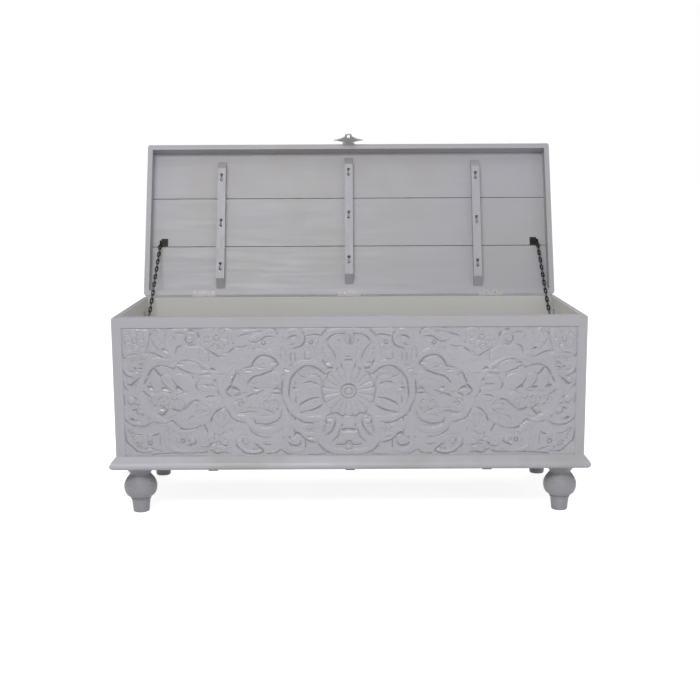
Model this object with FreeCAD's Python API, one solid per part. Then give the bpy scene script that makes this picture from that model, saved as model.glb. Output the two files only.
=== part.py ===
"""A low lift-lid blanket chest: carved front, turned feet, battened lid on three butt hinges and two chain stays.

Millimetres. X runs along the chest, Y from its front to its back and Z up. The origin is on the floor, under the
middle of the space that the chest takes with its lid open.
"""
import FreeCAD, Part
import math
import os
from FreeCAD import Vector

# Overall sizes
body_width = 1130.0
body_depth = 434.0
box_top = 488.0
foot_height = 118.0
lid_lean_deg = 19.7

# Boards of the box
side_thickness = 14.0
back_thickness = 20.0
front_thickness = 22.0
top_rail_height = 25.0
stile_width = 22.0
end_edge_radius = 5.0
back_joint_share = 0.52

# Base
moulding_height = 30.0
moulding_overhang = 15.0
moulding_width = 45.0
moulding_cove_share = 0.42
nose_share = 0.2
floor_thickness = 12.0
floor_board_count = 3
floor_batten_width = 23.0
floor_batten_height = 43.0
floor_batten_place_share = 0.2965
corner_block_size = 62.0

# Turned feet
foot_inset = 48.0
ball_radius = 40.5
ball_height = 62.0
neck_radius = 26.0
stem_radius = 23.0
toe_radius = 20.0
foot_sides = 16
foot_ball_shares = (-0.85, -0.4, 0.1, 0.55, 0.88)
foot_cove_shares = (0.5, 1.0)

# Lid
lid_gap = 0.6
rim_depth = 36.0
rim_width = 13.5
plank_thickness = 16.0
plank_gap = 2.0
middle_plank_share = 0.3226
plank_edge = 3.0
lid_corner_radius = 6.0
lid_batten_width = 23.0
lid_batten_thickness = 20.0
lid_batten_place_share = 0.3168
lid_batten_start = 26.0
lid_batten_stop = 38.0
lid_batten_lift_shares = (0.0, 0.025, 0.007)
lid_batten_bevel = 25.0
pocket_radius = 4.6
pocket_sides = 8
pocket_spacing = 15.0
pocket_waist = 5.5
pocket_depth = 9.0
pocket_shares = ((0.16, 0.50, 0.86), (0.18, 0.53, 0.87), (0.17, 0.51, 0.86))

# Butt hinges
hinge_width = 63.5
hinge_place_shares = (-0.3535, 0.0, 0.3445)
leaf_depth = 12.5
leaf_thickness = 2.0
knuckle_count = 3
knuckle_radius = 3.6
knuckle_gap = 0.3
barrel_sides = 10
pin_offset = 4.0
pin_radius = 1.7
pin_head = 1.4
head_ratio = 1.5
running_fit = 0.05
leaf_screw_shares = ((-0.38, 0.68), (0.0, 0.68), (0.38, 0.68), (-0.19, 0.3), (0.19, 0.3))

# Chain stays
wire_radius = 1.1
link_half_width = 2.9
link_gap = 0.3
wire_sides = 5
lower_link_count = 9
upper_link_count = 10
stud_radius = 1.4
stud_sides = 8
stud_head_radius = 3.4
stud_head = 1.2
stay_plate_width = 18.0
stay_plate_height = 22.0
stay_plate_thickness = 1.6
stay_wall_below_top = 42.0
stay_wall_from_back = 72.0
stay_wall_reach = 13.0
stay_lid_share = 0.376
stay_lid_above = 7.0
stay_lid_inward = 24.0
stay_ear_thickness = 1.6
stay_slack_deg = 8.0

# Hasp and staple
hasp_width = 82.0
hasp_length = 71.0
hasp_wing_share = 0.36
hasp_thickness = 2.5
hasp_nose_radius = 9.0
hasp_root_width = 13.0
hasp_knuckle_radius = 3.5
hasp_pin_radius = 1.6
hasp_pin_above = 3.0
hasp_plate_width = 34.0
hasp_plate_height = 34.0
hasp_plate_thickness = 2.0
hasp_standoff = 0.4
slot_width = 8.0
slot_height = 23.0
staple_below_top = 50.0
staple_height = 17.0
staple_reach = 13.0
staple_wire_radius = 2.0
staple_plate_width = 17.0
staple_plate_height = 25.0
staple_plate_thickness = 1.2

# Screws
screw_sides = 6
leaf_screw_radius = 2.3
leaf_screw_length = 12.0
batten_screw_radius = 3.0
batten_screw_length = 22.0
small_screw_radius = 2.4
small_screw_length = 11.0
shank_share = 0.5
tip_share = 0.2

# Carving on the front panel. Its pattern is drawn on a squared sheet: squares across from the middle, squares up
# from the pattern's axis. Strips give their width at either end, then their middle line
carving_depth = 4.0
carving_drop = 1.0
square_across_share = 1 / 54.3
square_up_share = 1 / 31.5
pattern_axis_share = 0.508
petal_count = 20
petal_tip_share = 6.1
petal_root_share = 5.5
button_sides = 12
button_share = 1.4
paired_strip_shares = (
    (1.5, 1.6, ((0, 14.4), (2.9, 14.4), (5.2, 13.6), (6.6, 12.0), (7.0, 9.9), (6.9, 7.6))),
    (1.1, 0.9, ((14.2, 6.4), (14.3, 10.2), (15.0, 12.8), (13.4, 14.6), (11.3, 13.7), (11.3, 11.6), (13.2, 11.3))),
    (1.8, 1.3, ((15.0, 4.6), (16.3, 8.0), (18.6, 9.7), (21.0, 9.9), (24.0, 7.0), (28.2, 4.2), (30.4, -0.4))),
    (1.2, 1.0, ((27.2, 11.2), (26.5, 13.3), (24.6, 14.5), (22.0, 14.5))),
    (1.6, 1.0, ((23.0, 12.3), (20.6, 13.3), (18.4, 14.7))),
    (1.4, 0.8, ((41.6, 9.3), (42.5, 11.1), (42.3, 13.2), (40.7, 14.4), (38.4, 14.5), (36.6, 13.3), (37.4, 11.8))),
    (1.1, 0.7, ((48.2, 8.3), (51.4, 8.3), (53.0, 6.8), (52.7, 4.6), (50.6, 4.2))),
)
single_strip_shares = (
    (1.6, 1.6, ((5.9, 5.8), (9.4, 6.9), (12.7, 5.8), (14.7, 3.0), (15.1, 0), (14.7, -3.0), (12.7, -5.8), (9.4, -6.9),
                (5.9, -5.8))),
    (1.4, 2.0, ((50.7, 0.2), (49.6, 2.8), (48.4, 5.2), (46.6, 7.0), (44.0, 7.5), (41.6, 7.2))),
    (1.4, 2.4, ((50.7, -0.2), (49.4, -2.4), (48.2, -4.4), (46.4, -5.9), (44.0, -6.3), (41.8, -5.9))),
    (1.2, 0.9, ((34.2, 5.3), (31.8, 4.6), (28.6, 3.6))),
)
paired_form_shares = (
    ((11.8, 4.6), (10.9, 2.7), (6.7, 1.8), (6.4, 3.2), (8.8, 4.7)),
    ((5.4, 11.2), (4.2, 10.2), (3.3, 7.9), (3.8, 6.2), (4.5, 5.6), (5.9, 8.8)),
    ((16.9, 6.4), (18.4, 7.8), (20.3, 8.3), (22.0, 7.3), (22.4, 6.0), (20.8, 5.2), (18.4, 5.4)),
    ((26.0, 4.9), (23.9, 5.5), (21.7, 4.6), (17.9, 4.9), (22.6, 3.0), (24.2, 1.7)),
    ((21.6, 2.5), (17.4, 4.0), (16.4, 3.0), (16.5, 1.6), (20.7, 1.5)),
    ((34.5, 12.8), (34.0, 11.0), (32.3, 10.1), (30.8, 8.7), (28.9, 8.7), (28.1, 12.6), (28.5, 14.9), (33.8, 14.9)),
    ((43.3, 9.2), (45.6, 10.3), (46.8, 12.6), (46.4, 14.9), (44.6, 14.9)),
    ((53.4, 9.4), (49.0, 9.4), (47.7, 13.6), (48.3, 14.9), (53.4, 14.9)),
)
single_form_shares = (
    ((12.6, -9.6), (10.7, -10.2), (9.6, -11.9), (8.5, -12.3), (8.4, -10.3), (10.2, -8.8), (12.2, -8.6)),
    ((6.9, 1.1), (10.4, 1.5), (13.3, 0.2), (10.4, -1.2), (6.9, -1.1)),
    ((29.0, 0.1), (27.9, 1.3), (25.9, -0.1), (27.9, -1.2)),
    ((23.4, 0), (22.3, 1.1), (21.0, 0), (22.3, -0.8)),
    ((17.9, 0), (17.0, 0.8), (16.3, 0), (17.0, -0.6)),
    ((46.7, 5.2), (48.0, 3.0), (47.5, 0.3), (46.4, 0.3), (47.0, 2.4)),
    ((46.2, 4.9), (44.9, 3.6), (42.8, 0.3), (46.0, 0.3), (46.6, 2.6)),
    ((44.5, 4.2), (41.8, 5.0), (42.0, 3.2), (40.1, 0.3), (42.3, 0.3)),
    ((41.3, 5.0), (37.3, 3.6), (37.1, 0.3), (39.6, 0.3), (41.5, 3.2)),
    ((48.0, -0.3), (47.3, -2.2), (45.9, -3.4), (42.2, -3.7), (40.6, -4.6), (36.9, -2.3), (37.1, -0.3)),
    ((37.0, -2.7), (36.0, -2.6), (34.3, -4.3), (35.2, -5.0), (37.6, -5.4), (39.3, -4.2)),
    ((40.9, -7.6), (40.1, -8.8), (38.2, -9.3), (36.2, -8.8), (33.7, -5.9), (37.5, -6.1), (38.9, -6.7)),
    ((41.1, 6.3), (40.2, 7.2), (38.3, 7.5), (36.6, 7.0), (33.6, 5.0), (36.0, 4.6), (38.5, 5.0)),
    ((42.6, 8.3), (42.4, 6.9), (40.3, 8.2), (38.0, 8.3), (33.3, 6.4), (33.4, 9.2), (35.0, 10.6), (39.4, 10.6)),
    ((30.2, -4.6), (32.0, -5.5), (32.9, -6.9), (32.4, -8.1), (28.6, -8.1), (28.3, -6.9)),
)
middle_form_shares = (
    ((1.4, 9.2), (1.5, 7.3), (0.5, 6.5), (-0.5, 6.5), (-1.5, 7.3), (-1.4, 9.2)),
    ((1.2, -6.7), (1.5, -8.3), (0, -9.2), (-1.5, -8.3), (-1.2, -6.7)),
    ((0, -12.2), (1.2, -13.0), (1.9, -12.2), (1.2, -9.9), (-1.2, -9.9), (-1.9, -12.2), (-1.2, -13.0)),
)

overrun = 10.0

X = Vector(1, 0, 0)
Y = Vector(0, 1, 0)
Z = Vector(0, 0, 1)

# Places that follow from the sizes
half_width = body_width / 2
half_carve = half_width - stile_width
panel_height = box_top - top_rail_height - foot_height - moulding_height
lid_batten_place = body_width * lid_batten_place_share
hinge_places = [body_width * share for share in hinge_place_shares]
floor_batten_place = body_width * floor_batten_place_share
middle_plank_width = body_depth * middle_plank_share
lid_batten_length = body_depth - lid_batten_start - lid_batten_stop
lid_height = rim_depth + plank_thickness
lid_lean = math.radians(lid_lean_deg)
lid_open_deg = 90.0 + lid_lean_deg
lid_reach = body_depth + pin_offset
lean_depth = lid_reach * math.sin(lid_lean) + (lid_height + lid_gap / 2) * math.cos(lid_lean)
front_y = (moulding_overhang - body_depth - pin_offset - lean_depth) / 2
back_y = front_y + body_depth
box_bottom = foot_height + moulding_height
lid_bottom = box_top + lid_gap
lid_under = lid_bottom + rim_depth
pin_y = back_y + pin_offset
pin_z = box_top + lid_gap / 2
inner_front = front_y + front_thickness
inner_back = back_y - back_thickness
inner_side = half_width - side_thickness
stay_lid_place = inner_side - stay_lid_inward
stay_lid_along = body_depth * stay_lid_share
lid_places = (-lid_batten_place, 0.0, lid_batten_place)
side_names = ("left", "right")
three_names = ("left", "middle", "right")

parts = {}


def block(x0, x1, y0, y1, z0, z1):
    """A plain rectangular piece between two corners."""
    return Part.makeBox(x1 - x0, y1 - y0, z1 - z0, Vector(x0, y0, z0))


def slab(points, along):
    """A flat outline, given by its corners, drawn out along a vector."""
    return Part.Face(Part.makePolygon(points + points[:1])).extrude(along)


def outline(*edges):
    """A face inside lines and three-point arcs that follow each other."""
    shapes = []
    for edge in edges:
        curve = Part.LineSegment(*edge) if len(edge) == 2 else Part.Arc(*edge)
        shapes.append(curve.toShape())
    return Part.Face(Part.Wire(shapes))


def bow(start, end, sag_share, steps):
    """Points along a shallow arc in the XZ plane that bends to the right of its run by a share of its chord."""
    chord = end - start
    right = Vector(chord.z, 0, -chord.x)
    points = []
    for i in range(steps + 1):
        share = i / steps
        points.append(start + chord * share + right * (4 * sag_share * share * (1 - share)))
    return points


def rounded_plan(x, y0, y1, z0, z1, radius):
    """An upright block with rounded corners."""
    solid = block(-x, x, y0, y1, z0, z1)
    upright = [e for e in solid.Edges if abs(e.tangentAt(e.FirstParameter).z) > 1 - 1e-6]
    return solid.makeFillet(radius, upright)


def mitred(solid, corners, z0, z1):
    """What is left of a strip inside a plan whose slanted ends are its mitres."""
    plan = slab([Vector(x, y, z0) for x, y in corners], Z * (z1 - z0))
    return solid.common(plan)


def opened(solid):
    """Carries a piece of the lid from where it lies when shut to where it leans when open."""
    solid.rotate(Vector(0, pin_y, pin_z), X, -lid_open_deg)
    return solid


def tube(points, radius, sides, normal, closed):
    """A rod with flat facets that follows straight runs in one plane, with mitred bends."""
    count = len(points)
    rings = []
    for i, point in enumerate(points):
        before = points[i - 1] if closed or i else None
        after = points[(i + 1) % count] if closed or i + 1 < count else None
        run_in = (point - before).normalize() if before else (after - point).normalize()
        run_out = (after - point).normalize() if after else run_in
        outward = run_out.cross(normal)
        bend = run_in + run_out
        mitre = bend.normalize().cross(normal)
        stretch = 1 / mitre.dot(outward)
        ring = []
        for k in range(sides):
            turn = 2 * math.pi * (k + 0.5) / sides
            ring.append(point + mitre * (radius * math.cos(turn) * stretch) + normal * (radius * math.sin(turn)))
        rings.append(ring)
    faces = []
    runs = count if closed else count - 1
    for i in range(runs):
        here, there = rings[i], rings[(i + 1) % count]
        for k in range(sides):
            m = (k + 1) % sides
            corners = [here[k], here[m], there[m], there[k], here[k]]
            faces.append(Part.Face(Part.makePolygon(corners)))
    if not closed:
        faces.append(Part.Face(Part.makePolygon(rings[0] + rings[0][:1])))
        faces.append(Part.Face(Part.makePolygon(rings[-1] + rings[-1][:1])))
    return sound(Part.Solid(Part.Shell(faces)))


def sound(solid):
    """Turns a solid inside out if its faces look inward."""
    if solid.Volume < 0:
        solid.reverse()
    return solid


def turned(stations, sides, foot, along):
    """A turned piece with flat facets, from (height, radius) stations up an axis from a point."""
    side = X if abs(along.dot(X)) < 0.5 else Y
    rings = []
    for height, radius in stations:
        ring = []
        for k in range(sides):
            turn = 2 * math.pi * k / sides
            across = side * math.cos(turn) + along.cross(side) * math.sin(turn)
            ring.append(foot + along * height + across * radius)
        rings.append(ring)
    faces = [Part.Face(Part.makePolygon(ring + ring[:1])) for ring in (rings[0], rings[-1])]
    for here, there in zip(rings[:-1], rings[1:]):
        for k in range(sides):
            m = (k + 1) % sides
            faces.append(Part.Face(Part.makePolygon([here[k], here[m], there[m], there[k], here[k]])))
    return sound(Part.Solid(Part.Shell(faces)))


def barrel(x0, x1, radius, y, z):
    """A knuckle, pin or bore along X with flat facets."""
    return turned(((0.0, radius), (x1 - x0, radius)), barrel_sides, Vector(x0, y, z), X)


def bore(x0, x1, pin, y, z):
    """The hole for a pin, whose flats clear the pin's edges by the running fit at every turn."""
    return barrel(x0, x1, (pin + running_fit) / math.cos(math.pi / barrel_sides), y, z)


def screw(head, direction, radius, length):
    """A countersunk screw: its head's flat top is at the given point, and it points along the direction."""
    shank = radius * shank_share
    stations = ((0.0, radius), (radius - shank, shank), (length, shank * tip_share))
    return turned(stations, screw_sides, head, direction)


def eased(board):
    """A board with its upper outer corners at the ends of the chest rounded from front to back."""
    edges = []
    for edge in board.Edges:
        box = edge.BoundBox
        if box.ZMin > box_top - 1e-6 and box.YLength > 1e-6 and min(abs(box.XMin), abs(box.XMax)) > half_width - 1e-6:
            edges.append(edge)
    return board.makeFillet(end_edge_radius, edges)


def front_frame():
    """The plain top rail and two stiles round the carving."""
    rail_bottom = box_top - top_rail_height
    rail = block(-half_width, half_width, front_y, inner_front, rail_bottom, box_top)
    parts["front_top_rail"] = eased(rail)
    for name, x0 in zip(side_names, (-half_width, half_carve)):
        stile = block(x0, x0 + stile_width, front_y, inner_front, box_bottom, rail_bottom)
        parts["front_stile_" + name] = stile


def on_sheet(across, up):
    """A place on the carving's ground from the squares of its pattern."""
    axis_z = box_bottom + panel_height * pattern_axis_share
    return Vector(across * half_carve * square_across_share, front_y + carving_depth,
                  axis_z + up * panel_height * square_up_share)


def form_face(points, side, end):
    """A closed form of the pattern, turned over to a side and an end."""
    corners = [on_sheet(across * side, up * end) for across, up in points]
    return Part.Face(Part.makePolygon(corners + corners[:1]))


def strip_face(strip, side, end):
    """A strip of the pattern, whose width runs evenly from one end to the other."""
    first, last, points = strip
    line = [on_sheet(across * side, up * end) for across, up in points]
    runs = [(b - a).normalize() for a, b in zip(line[:-1], line[1:])]
    steps = [0.0]
    for a, b in zip(line[:-1], line[1:]):
        steps.append(steps[-1] + (b - a).Length)
    edges = ([], [])
    for i, point in enumerate(line):
        run_in, run_out = runs[max(i - 1, 0)], runs[min(i, len(runs) - 1)]
        across = (run_in + run_out).normalize().cross(Y)
        share = steps[i] / steps[-1]
        half = (first + (last - first) * share) / 2 * panel_height * square_up_share
        reach = across * (half / across.dot(run_out.cross(Y)))
        edges[0].append(point + reach)
        edges[1].append(point - reach)
    corners = edges[0] + edges[1][::-1]
    return Part.Face(Part.makePolygon(corners + corners[:1]))


def pattern():
    """Every form of the carving as one flat shape on the ground."""
    tips = []
    for i in range(2 * petal_count):
        turn = math.pi * (i + 0.5) / petal_count
        reach = petal_tip_share if i % 2 else petal_root_share
        tips.append((reach * math.cos(turn), reach * math.sin(turn)))
    faces = [form_face(form, 1, 1) for form in middle_form_shares + (tips,)]
    for side in (-1, 1):
        faces += [form_face(form, side, 1) for form in single_form_shares]
        faces += [strip_face(strip, side, 1) for strip in single_strip_shares]
        for end in (-1, 1):
            faces += [form_face(form, side, end) for form in paired_form_shares]
            faces += [strip_face(strip, side, end) for strip in paired_strip_shares]
    return faces[0].multiFuse(faces[1:]).removeSplitter()


def carved_panel():
    """The board between the stiles, with its relief standing up from a sunk ground."""
    top = box_top - top_rail_height
    ground_y = front_y + carving_depth
    board = block(-half_carve, half_carve, ground_y, inner_front, box_bottom, top)
    half_w, half_h = staple_plate_width / 2, staple_plate_height / 2
    eye_z = box_top - staple_below_top
    pad = block(-half_w, half_w, front_y, ground_y, eye_z - half_h, min(eye_z + half_h, top))
    rim = []
    for i in range(button_sides):
        turn = 2 * math.pi * i / button_sides
        rim.append((button_share * math.cos(turn), button_share * math.sin(turn)))
    button = form_face(rim, 1, 1).extrude(-Y * carving_depth)
    relief = pattern().extrude(-Y * (carving_depth - carving_drop))
    parts["carved_front_panel"] = board.multiFuse([pad, button] + relief.Solids).removeSplitter()


def box_boards():
    """Two boards across the back and one at each end, between the front and the back."""
    joint_z = box_bottom + (box_top - box_bottom) * back_joint_share
    parts["back_board_lower"] = block(-half_width, half_width, inner_back, back_y, box_bottom, joint_z)
    parts["back_board_upper"] = eased(block(-half_width, half_width, inner_back, back_y, joint_z, box_top))
    for name, x0 in zip(side_names, (-half_width, inner_side)):
        board = block(x0, x0 + side_thickness, inner_front, inner_back, box_bottom, box_top)
        parts["side_board_" + name] = eased(board)


def moulding_profile():
    """Corners and arcs of the base moulding as (how far out, how high)."""
    cove = moulding_height * (1 - moulding_cove_share)
    nose = moulding_height * nose_share
    out = moulding_overhang
    back = out - moulding_width
    return {
        "back_low": (back, 0.0), "back_top": (back, moulding_height), "body": (0.0, moulding_height),
        "cove_mid": (out * 0.36, (moulding_height + cove) / 2), "lip": (out - nose / 2, cove),
        "nose_top": (out, cove - nose), "nose_low": (out, nose), "toe": (out - nose, 0.0),
    }


def moulding_strip(length, outward, along, start):
    """One straight run of base moulding. It starts at a point on the body's lower edge."""
    place = {}
    for key, (out, up) in moulding_profile().items():
        place[key] = start + outward * out + Z * (up - moulding_height)
    p = place
    face = outline(
        (p["back_low"], p["back_top"]), (p["back_top"], p["body"]), (p["body"], p["cove_mid"], p["lip"]),
        (p["lip"], p["nose_top"]), (p["nose_top"], p["nose_low"]), (p["nose_low"], p["toe"]),
        (p["toe"], p["back_low"]))
    return face.extrude(along * length)


def base():
    """The mitred moulding on three sides, the plain rail at the back and the blocks in the corners."""
    out_x = half_width + moulding_overhang
    out_y = front_y - moulding_overhang
    in_x = out_x - moulding_width
    in_y = out_y + moulding_width
    z0, z1 = foot_height, box_bottom
    strip = moulding_strip(2 * out_x, -Y, X, Vector(-out_x, front_y, z1))
    corners = [(-out_x, out_y), (out_x, out_y), (in_x, in_y), (-in_x, in_y)]
    parts["base_moulding_front"] = mitred(strip, corners, z0, z1)
    for name, side in zip(side_names, (-1, 1)):
        start = Vector(side * half_width, out_y, z1)
        strip = moulding_strip(back_y - out_y, X * side, Y, start)
        corners = [(side * out_x, out_y), (side * out_x, back_y), (side * in_x, back_y), (side * in_x, in_y)]
        parts["base_moulding_" + name] = mitred(strip, corners, z0, z1)
    rail_y = back_y - (moulding_width - moulding_overhang)
    parts["base_rail_back"] = block(-in_x, in_x, rail_y, back_y, z0, z1)
    blocks = []
    for x0 in (-in_x, in_x - corner_block_size):
        for y0 in (in_y, rail_y - corner_block_size):
            blocks.append(block(x0, x0 + corner_block_size, y0, y0 + corner_block_size, z0, z1))
    parts["corner_blocks"] = Part.makeCompound(blocks)


def floor():
    """Three boards on the base frame, and the three battens on edge under them."""
    depth = inner_back - inner_front
    for i in range(floor_board_count):
        y0 = inner_front + depth * i / floor_board_count
        y1 = inner_front + depth * (i + 1) / floor_board_count
        board = block(-inner_side, inner_side, y0, y1, box_bottom, box_bottom + floor_thickness)
        parts["floor_board_%d" % (i + 1)] = board
    y0 = front_y - moulding_overhang + moulding_width
    y1 = back_y - (moulding_width - moulding_overhang)
    half = floor_batten_width / 2
    for name, x in zip(three_names, (-floor_batten_place, 0.0, floor_batten_place)):
        batten = block(x - half, x + half, y0, y1, box_bottom - floor_batten_height, box_bottom)
        parts["floor_batten_" + name] = batten


def foot(x, y):
    """One turned foot standing at a point: stem, bead, ball, two rings, neck and spreading collar."""
    bead = stem_radius + (ball_radius - stem_radius) * 0.15
    ring = neck_radius + (ball_radius - neck_radius) * 0.3
    edge = toe_radius * 0.12
    stem_top = ball_height * 0.53
    bead_top = ball_height * 0.62
    shoulder = foot_height * 0.72
    ring_top = foot_height * 0.775
    neck = foot_height * 0.82
    cove_top = foot_height * 0.97
    stations = [(0.0, toe_radius - edge), (edge, toe_radius), (stem_top, stem_radius),
                ((stem_top + bead_top) / 2, bead), (bead_top, stem_radius)]
    swell = (shoulder - bead_top) / 2
    for share in foot_ball_shares:
        out = stem_radius + (ball_radius - stem_radius) * math.sqrt(1 - share ** 2)
        stations.append((bead_top + swell * (1 + share), out))
    stations += [(shoulder, ring), ((shoulder + ring_top) / 2, ring + edge), (ring_top, ring - edge),
                 (neck, neck_radius)]
    for share in foot_cove_shares:
        flare = (ball_radius - neck_radius) * (1 - math.cos(math.pi / 2 * share))
        stations.append((neck + (cove_top - neck) * math.sin(math.pi / 2 * share), neck_radius + flare))
    stations.append((foot_height, ball_radius))
    return turned(stations, foot_sides, Vector(x, y, 0), Z)


def feet():
    """Four turned feet, each under a corner of the base frame."""
    for side_name, side in zip(side_names, (-1, 1)):
        for end_name, y in (("front", front_y + foot_inset), ("back", back_y - foot_inset)):
            parts["foot_%s_%s" % (end_name, side_name)] = foot(side * (half_width - foot_inset), y)


def lid_planks():
    """Three planks across the lid, with rounded outer edges and a thin gap between them."""
    plan = rounded_plan(half_width, front_y, back_y, lid_under, lid_under + plank_thickness, lid_corner_radius)
    rim = [e for e in plan.Edges if e.BoundBox.ZMin > lid_under + plank_thickness - 1e-6]
    plan = plan.makeChamfer(plank_edge, rim)
    outer_width = (body_depth - middle_plank_width) / 2
    edges = (front_y, front_y + outer_width, back_y - outer_width, back_y)
    for name, y0, y1 in zip(("front", "middle", "back"), edges[:-1], edges[1:]):
        low = y0 + plank_gap / 2 if y0 > front_y else y0 - overrun
        high = y1 - plank_gap / 2 if y1 < back_y else y1 + overrun
        cutter = block(-half_width - overrun, half_width + overrun, low, high, lid_under, lid_under + lid_height)
        parts["lid_plank_" + name] = opened(plan.common(cutter))


def lid_rims():
    """The four mitred strips under the planks that make the lid a shallow tray."""
    z0, z1 = lid_bottom, lid_under
    plan = rounded_plan(half_width, front_y, back_y, z0, z1, lid_corner_radius)
    x, xi = half_width, half_width - rim_width
    y0, y1 = front_y, back_y
    yi0, yi1 = y0 + rim_width, y1 - rim_width
    shapes = {
        "front": [(-x, y0), (x, y0), (xi, yi0), (-xi, yi0)],
        "back": [(-x, y1), (-xi, yi1), (xi, yi1), (x, y1)],
        "left": [(-x, y0), (-xi, yi0), (-xi, yi1), (-x, y1)],
        "right": [(x, y0), (x, y1), (xi, yi1), (xi, yi0)],
    }
    for name, corners in shapes.items():
        parts["lid_rim_" + name] = mitred(plan, corners, z0, z1)


def pocket(x, y):
    """The two joined screw holes sunk in a lid batten, as a cutter from its face."""
    z = lid_under - lid_batten_thickness
    half = pocket_spacing / 2
    stations = ((-overrun, pocket_radius), (pocket_depth, pocket_radius))
    holes = [turned(stations, pocket_sides, Vector(x, y + step, z), Z) for step in (-half, half)]
    waist = block(x - pocket_waist / 2, x + pocket_waist / 2, y - half, y + half, z - overrun, z + pocket_depth)
    return holes[0].fuse(holes[1]).fuse(waist)


def lid_battens():
    """Three bevelled battens under the planks, each screwed through three pairs of sunk holes."""
    z0, z1 = lid_under - lid_batten_thickness, lid_under
    half = lid_batten_width / 2
    screws = []
    for name, x, lift_share, shares in zip(three_names, lid_places, lid_batten_lift_shares, pocket_shares):
        back = back_y - lid_batten_start - body_depth * lift_share
        front = back - lid_batten_length
        side = [Vector(x - half, back, z1), Vector(x - half, back - lid_batten_bevel, z0),
                Vector(x - half, front + lid_batten_bevel, z0), Vector(x - half, front, z1)]
        batten = slab(side, X * lid_batten_width)
        for share in shares:
            y = back - lid_batten_length * share
            batten = batten.cut(pocket(x, y))
            for step in (-0.5, 0.5):
                head = Vector(x, y + step * pocket_spacing, z0 + pocket_depth)
                screws.append(screw(head, Z, batten_screw_radius, batten_screw_length))
        parts["lid_batten_" + name] = opened(batten)
    parts["lid_batten_screws"] = opened(Part.makeCompound(screws))


def hinge_leaf(x, up):
    """One leaf of a butt hinge with its share of the knuckles. The lid's leaf lies above the parting line."""
    step = hinge_width / knuckle_count
    start = x - hinge_width / 2
    low, high = (lid_bottom, lid_bottom + leaf_thickness) if up else (box_top - leaf_thickness, box_top)
    reach = math.sqrt(knuckle_radius ** 2 - (leaf_thickness + lid_gap / 2) ** 2)
    leaf = block(start, start + hinge_width, back_y - leaf_depth, pin_y, low, high)
    near = pin_y - knuckle_radius - knuckle_gap
    for i in range(knuckle_count):
        x0 = start + i * step
        if (i % 2 == 1) == up:
            barrel_start = x0 + (knuckle_gap / 2 if i else 0.0)
            barrel_end = x0 + step - (knuckle_gap / 2 if i < knuckle_count - 1 else 0.0)
            leaf = leaf.fuse(barrel(barrel_start, barrel_end, knuckle_radius, pin_y, pin_z))
        else:
            x_low = x0 - knuckle_gap / 2
            room = block(x_low, x0 + step + knuckle_gap / 2, near, pin_y + reach, low - overrun, high + overrun)
            leaf = leaf.cut(room)
    return leaf.cut(bore(start - overrun, start + hinge_width + overrun, pin_radius, pin_y, pin_z))


def leaf_screws(x, up):
    """The five staggered screws of one leaf."""
    z = lid_bottom if up else box_top
    heads = []
    for across, inward in leaf_screw_shares:
        head = Vector(x + across * hinge_width, back_y - leaf_depth * inward, z)
        heads.append(screw(head, Z if up else -Z, leaf_screw_radius, leaf_screw_length))
    return heads


def hinges():
    """Three butt hinges let into the back rim of the lid and the top edge of the back."""
    box_screws, lid_screws, box_leaves, lid_leaves, pins = [], [], [], [], []
    for x in hinge_places:
        for up, screws, leaves in ((False, box_screws, box_leaves), (True, lid_screws, lid_leaves)):
            new = leaf_screws(x, up)
            leaf = hinge_leaf(x, up).cut(Part.makeCompound(new))
            half = hinge_width / 2
            low, high = (lid_bottom, lid_bottom + leaf_thickness) if up else (box_top - leaf_thickness, box_top)
            recess = block(x - half, x + half, back_y - leaf_depth, back_y, low, high)
            board = "lid_rim_back" if up else "back_board_upper"
            parts[board] = parts[board].cut(recess)
            screws.extend(new)
            leaves.append(leaf)
        length = hinge_width + 2 * (knuckle_gap + pin_head)
        head = pin_radius * head_ratio
        stations = ((0.0, head), (pin_head, head), (pin_head, pin_radius), (length - pin_head, pin_radius),
                    (length - pin_head, head), (length, head))
        pins.append(turned(stations, barrel_sides, Vector(x - length / 2, pin_y, pin_z), X))
    parts["hinge_box_leaves"] = Part.makeCompound(box_leaves)
    parts["hinge_lid_leaves"] = opened(Part.makeCompound(lid_leaves))
    parts["hinge_pins"] = Part.makeCompound(pins)
    parts["hinge_box_screws"] = Part.makeCompound(box_screws)
    parts["hinge_lid_screws"] = opened(Part.makeCompound(lid_screws))


def stay_ends(side):
    """Where a chain hangs: on its stud in the end board, and on its stud in the open lid."""
    wall = Vector(side * (inner_side - stay_wall_reach), back_y - stay_wall_from_back, box_top - stay_wall_below_top)
    lid_y = pin_y - stay_lid_along
    lid = Part.Vertex(Vector(side * stay_lid_place, lid_y, lid_under - stay_lid_above))
    opened(lid)
    return wall, lid.Point


def stay_folding():
    """How far each half chain turns about X from open to shut, in degrees: lower in the box, upper in the lid."""
    wall, lid = stay_ends(1)
    shut = Vector(0, pin_y - stay_lid_along, lid_under - stay_lid_above)
    half = (lid - wall).Length / 2
    start = math.atan2(lid.z - wall.z, lid.y - wall.y)
    gap = math.hypot(shut.y - wall.y, shut.z - wall.z)
    across = math.atan2(shut.z - wall.z, shut.y - wall.y)
    lower = across + math.acos(gap / 2 / half)
    knee_y = wall.y + half * math.cos(lower)
    knee_z = wall.z + half * math.sin(lower)
    upper = math.atan2(knee_z - shut.z, knee_y - shut.y)
    lower_turn = math.degrees(lower - start) % 360 + stay_slack_deg
    upper_turn = (math.degrees(upper - start) % 360) - 180 - lid_open_deg
    return lower_turn, upper_turn


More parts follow.
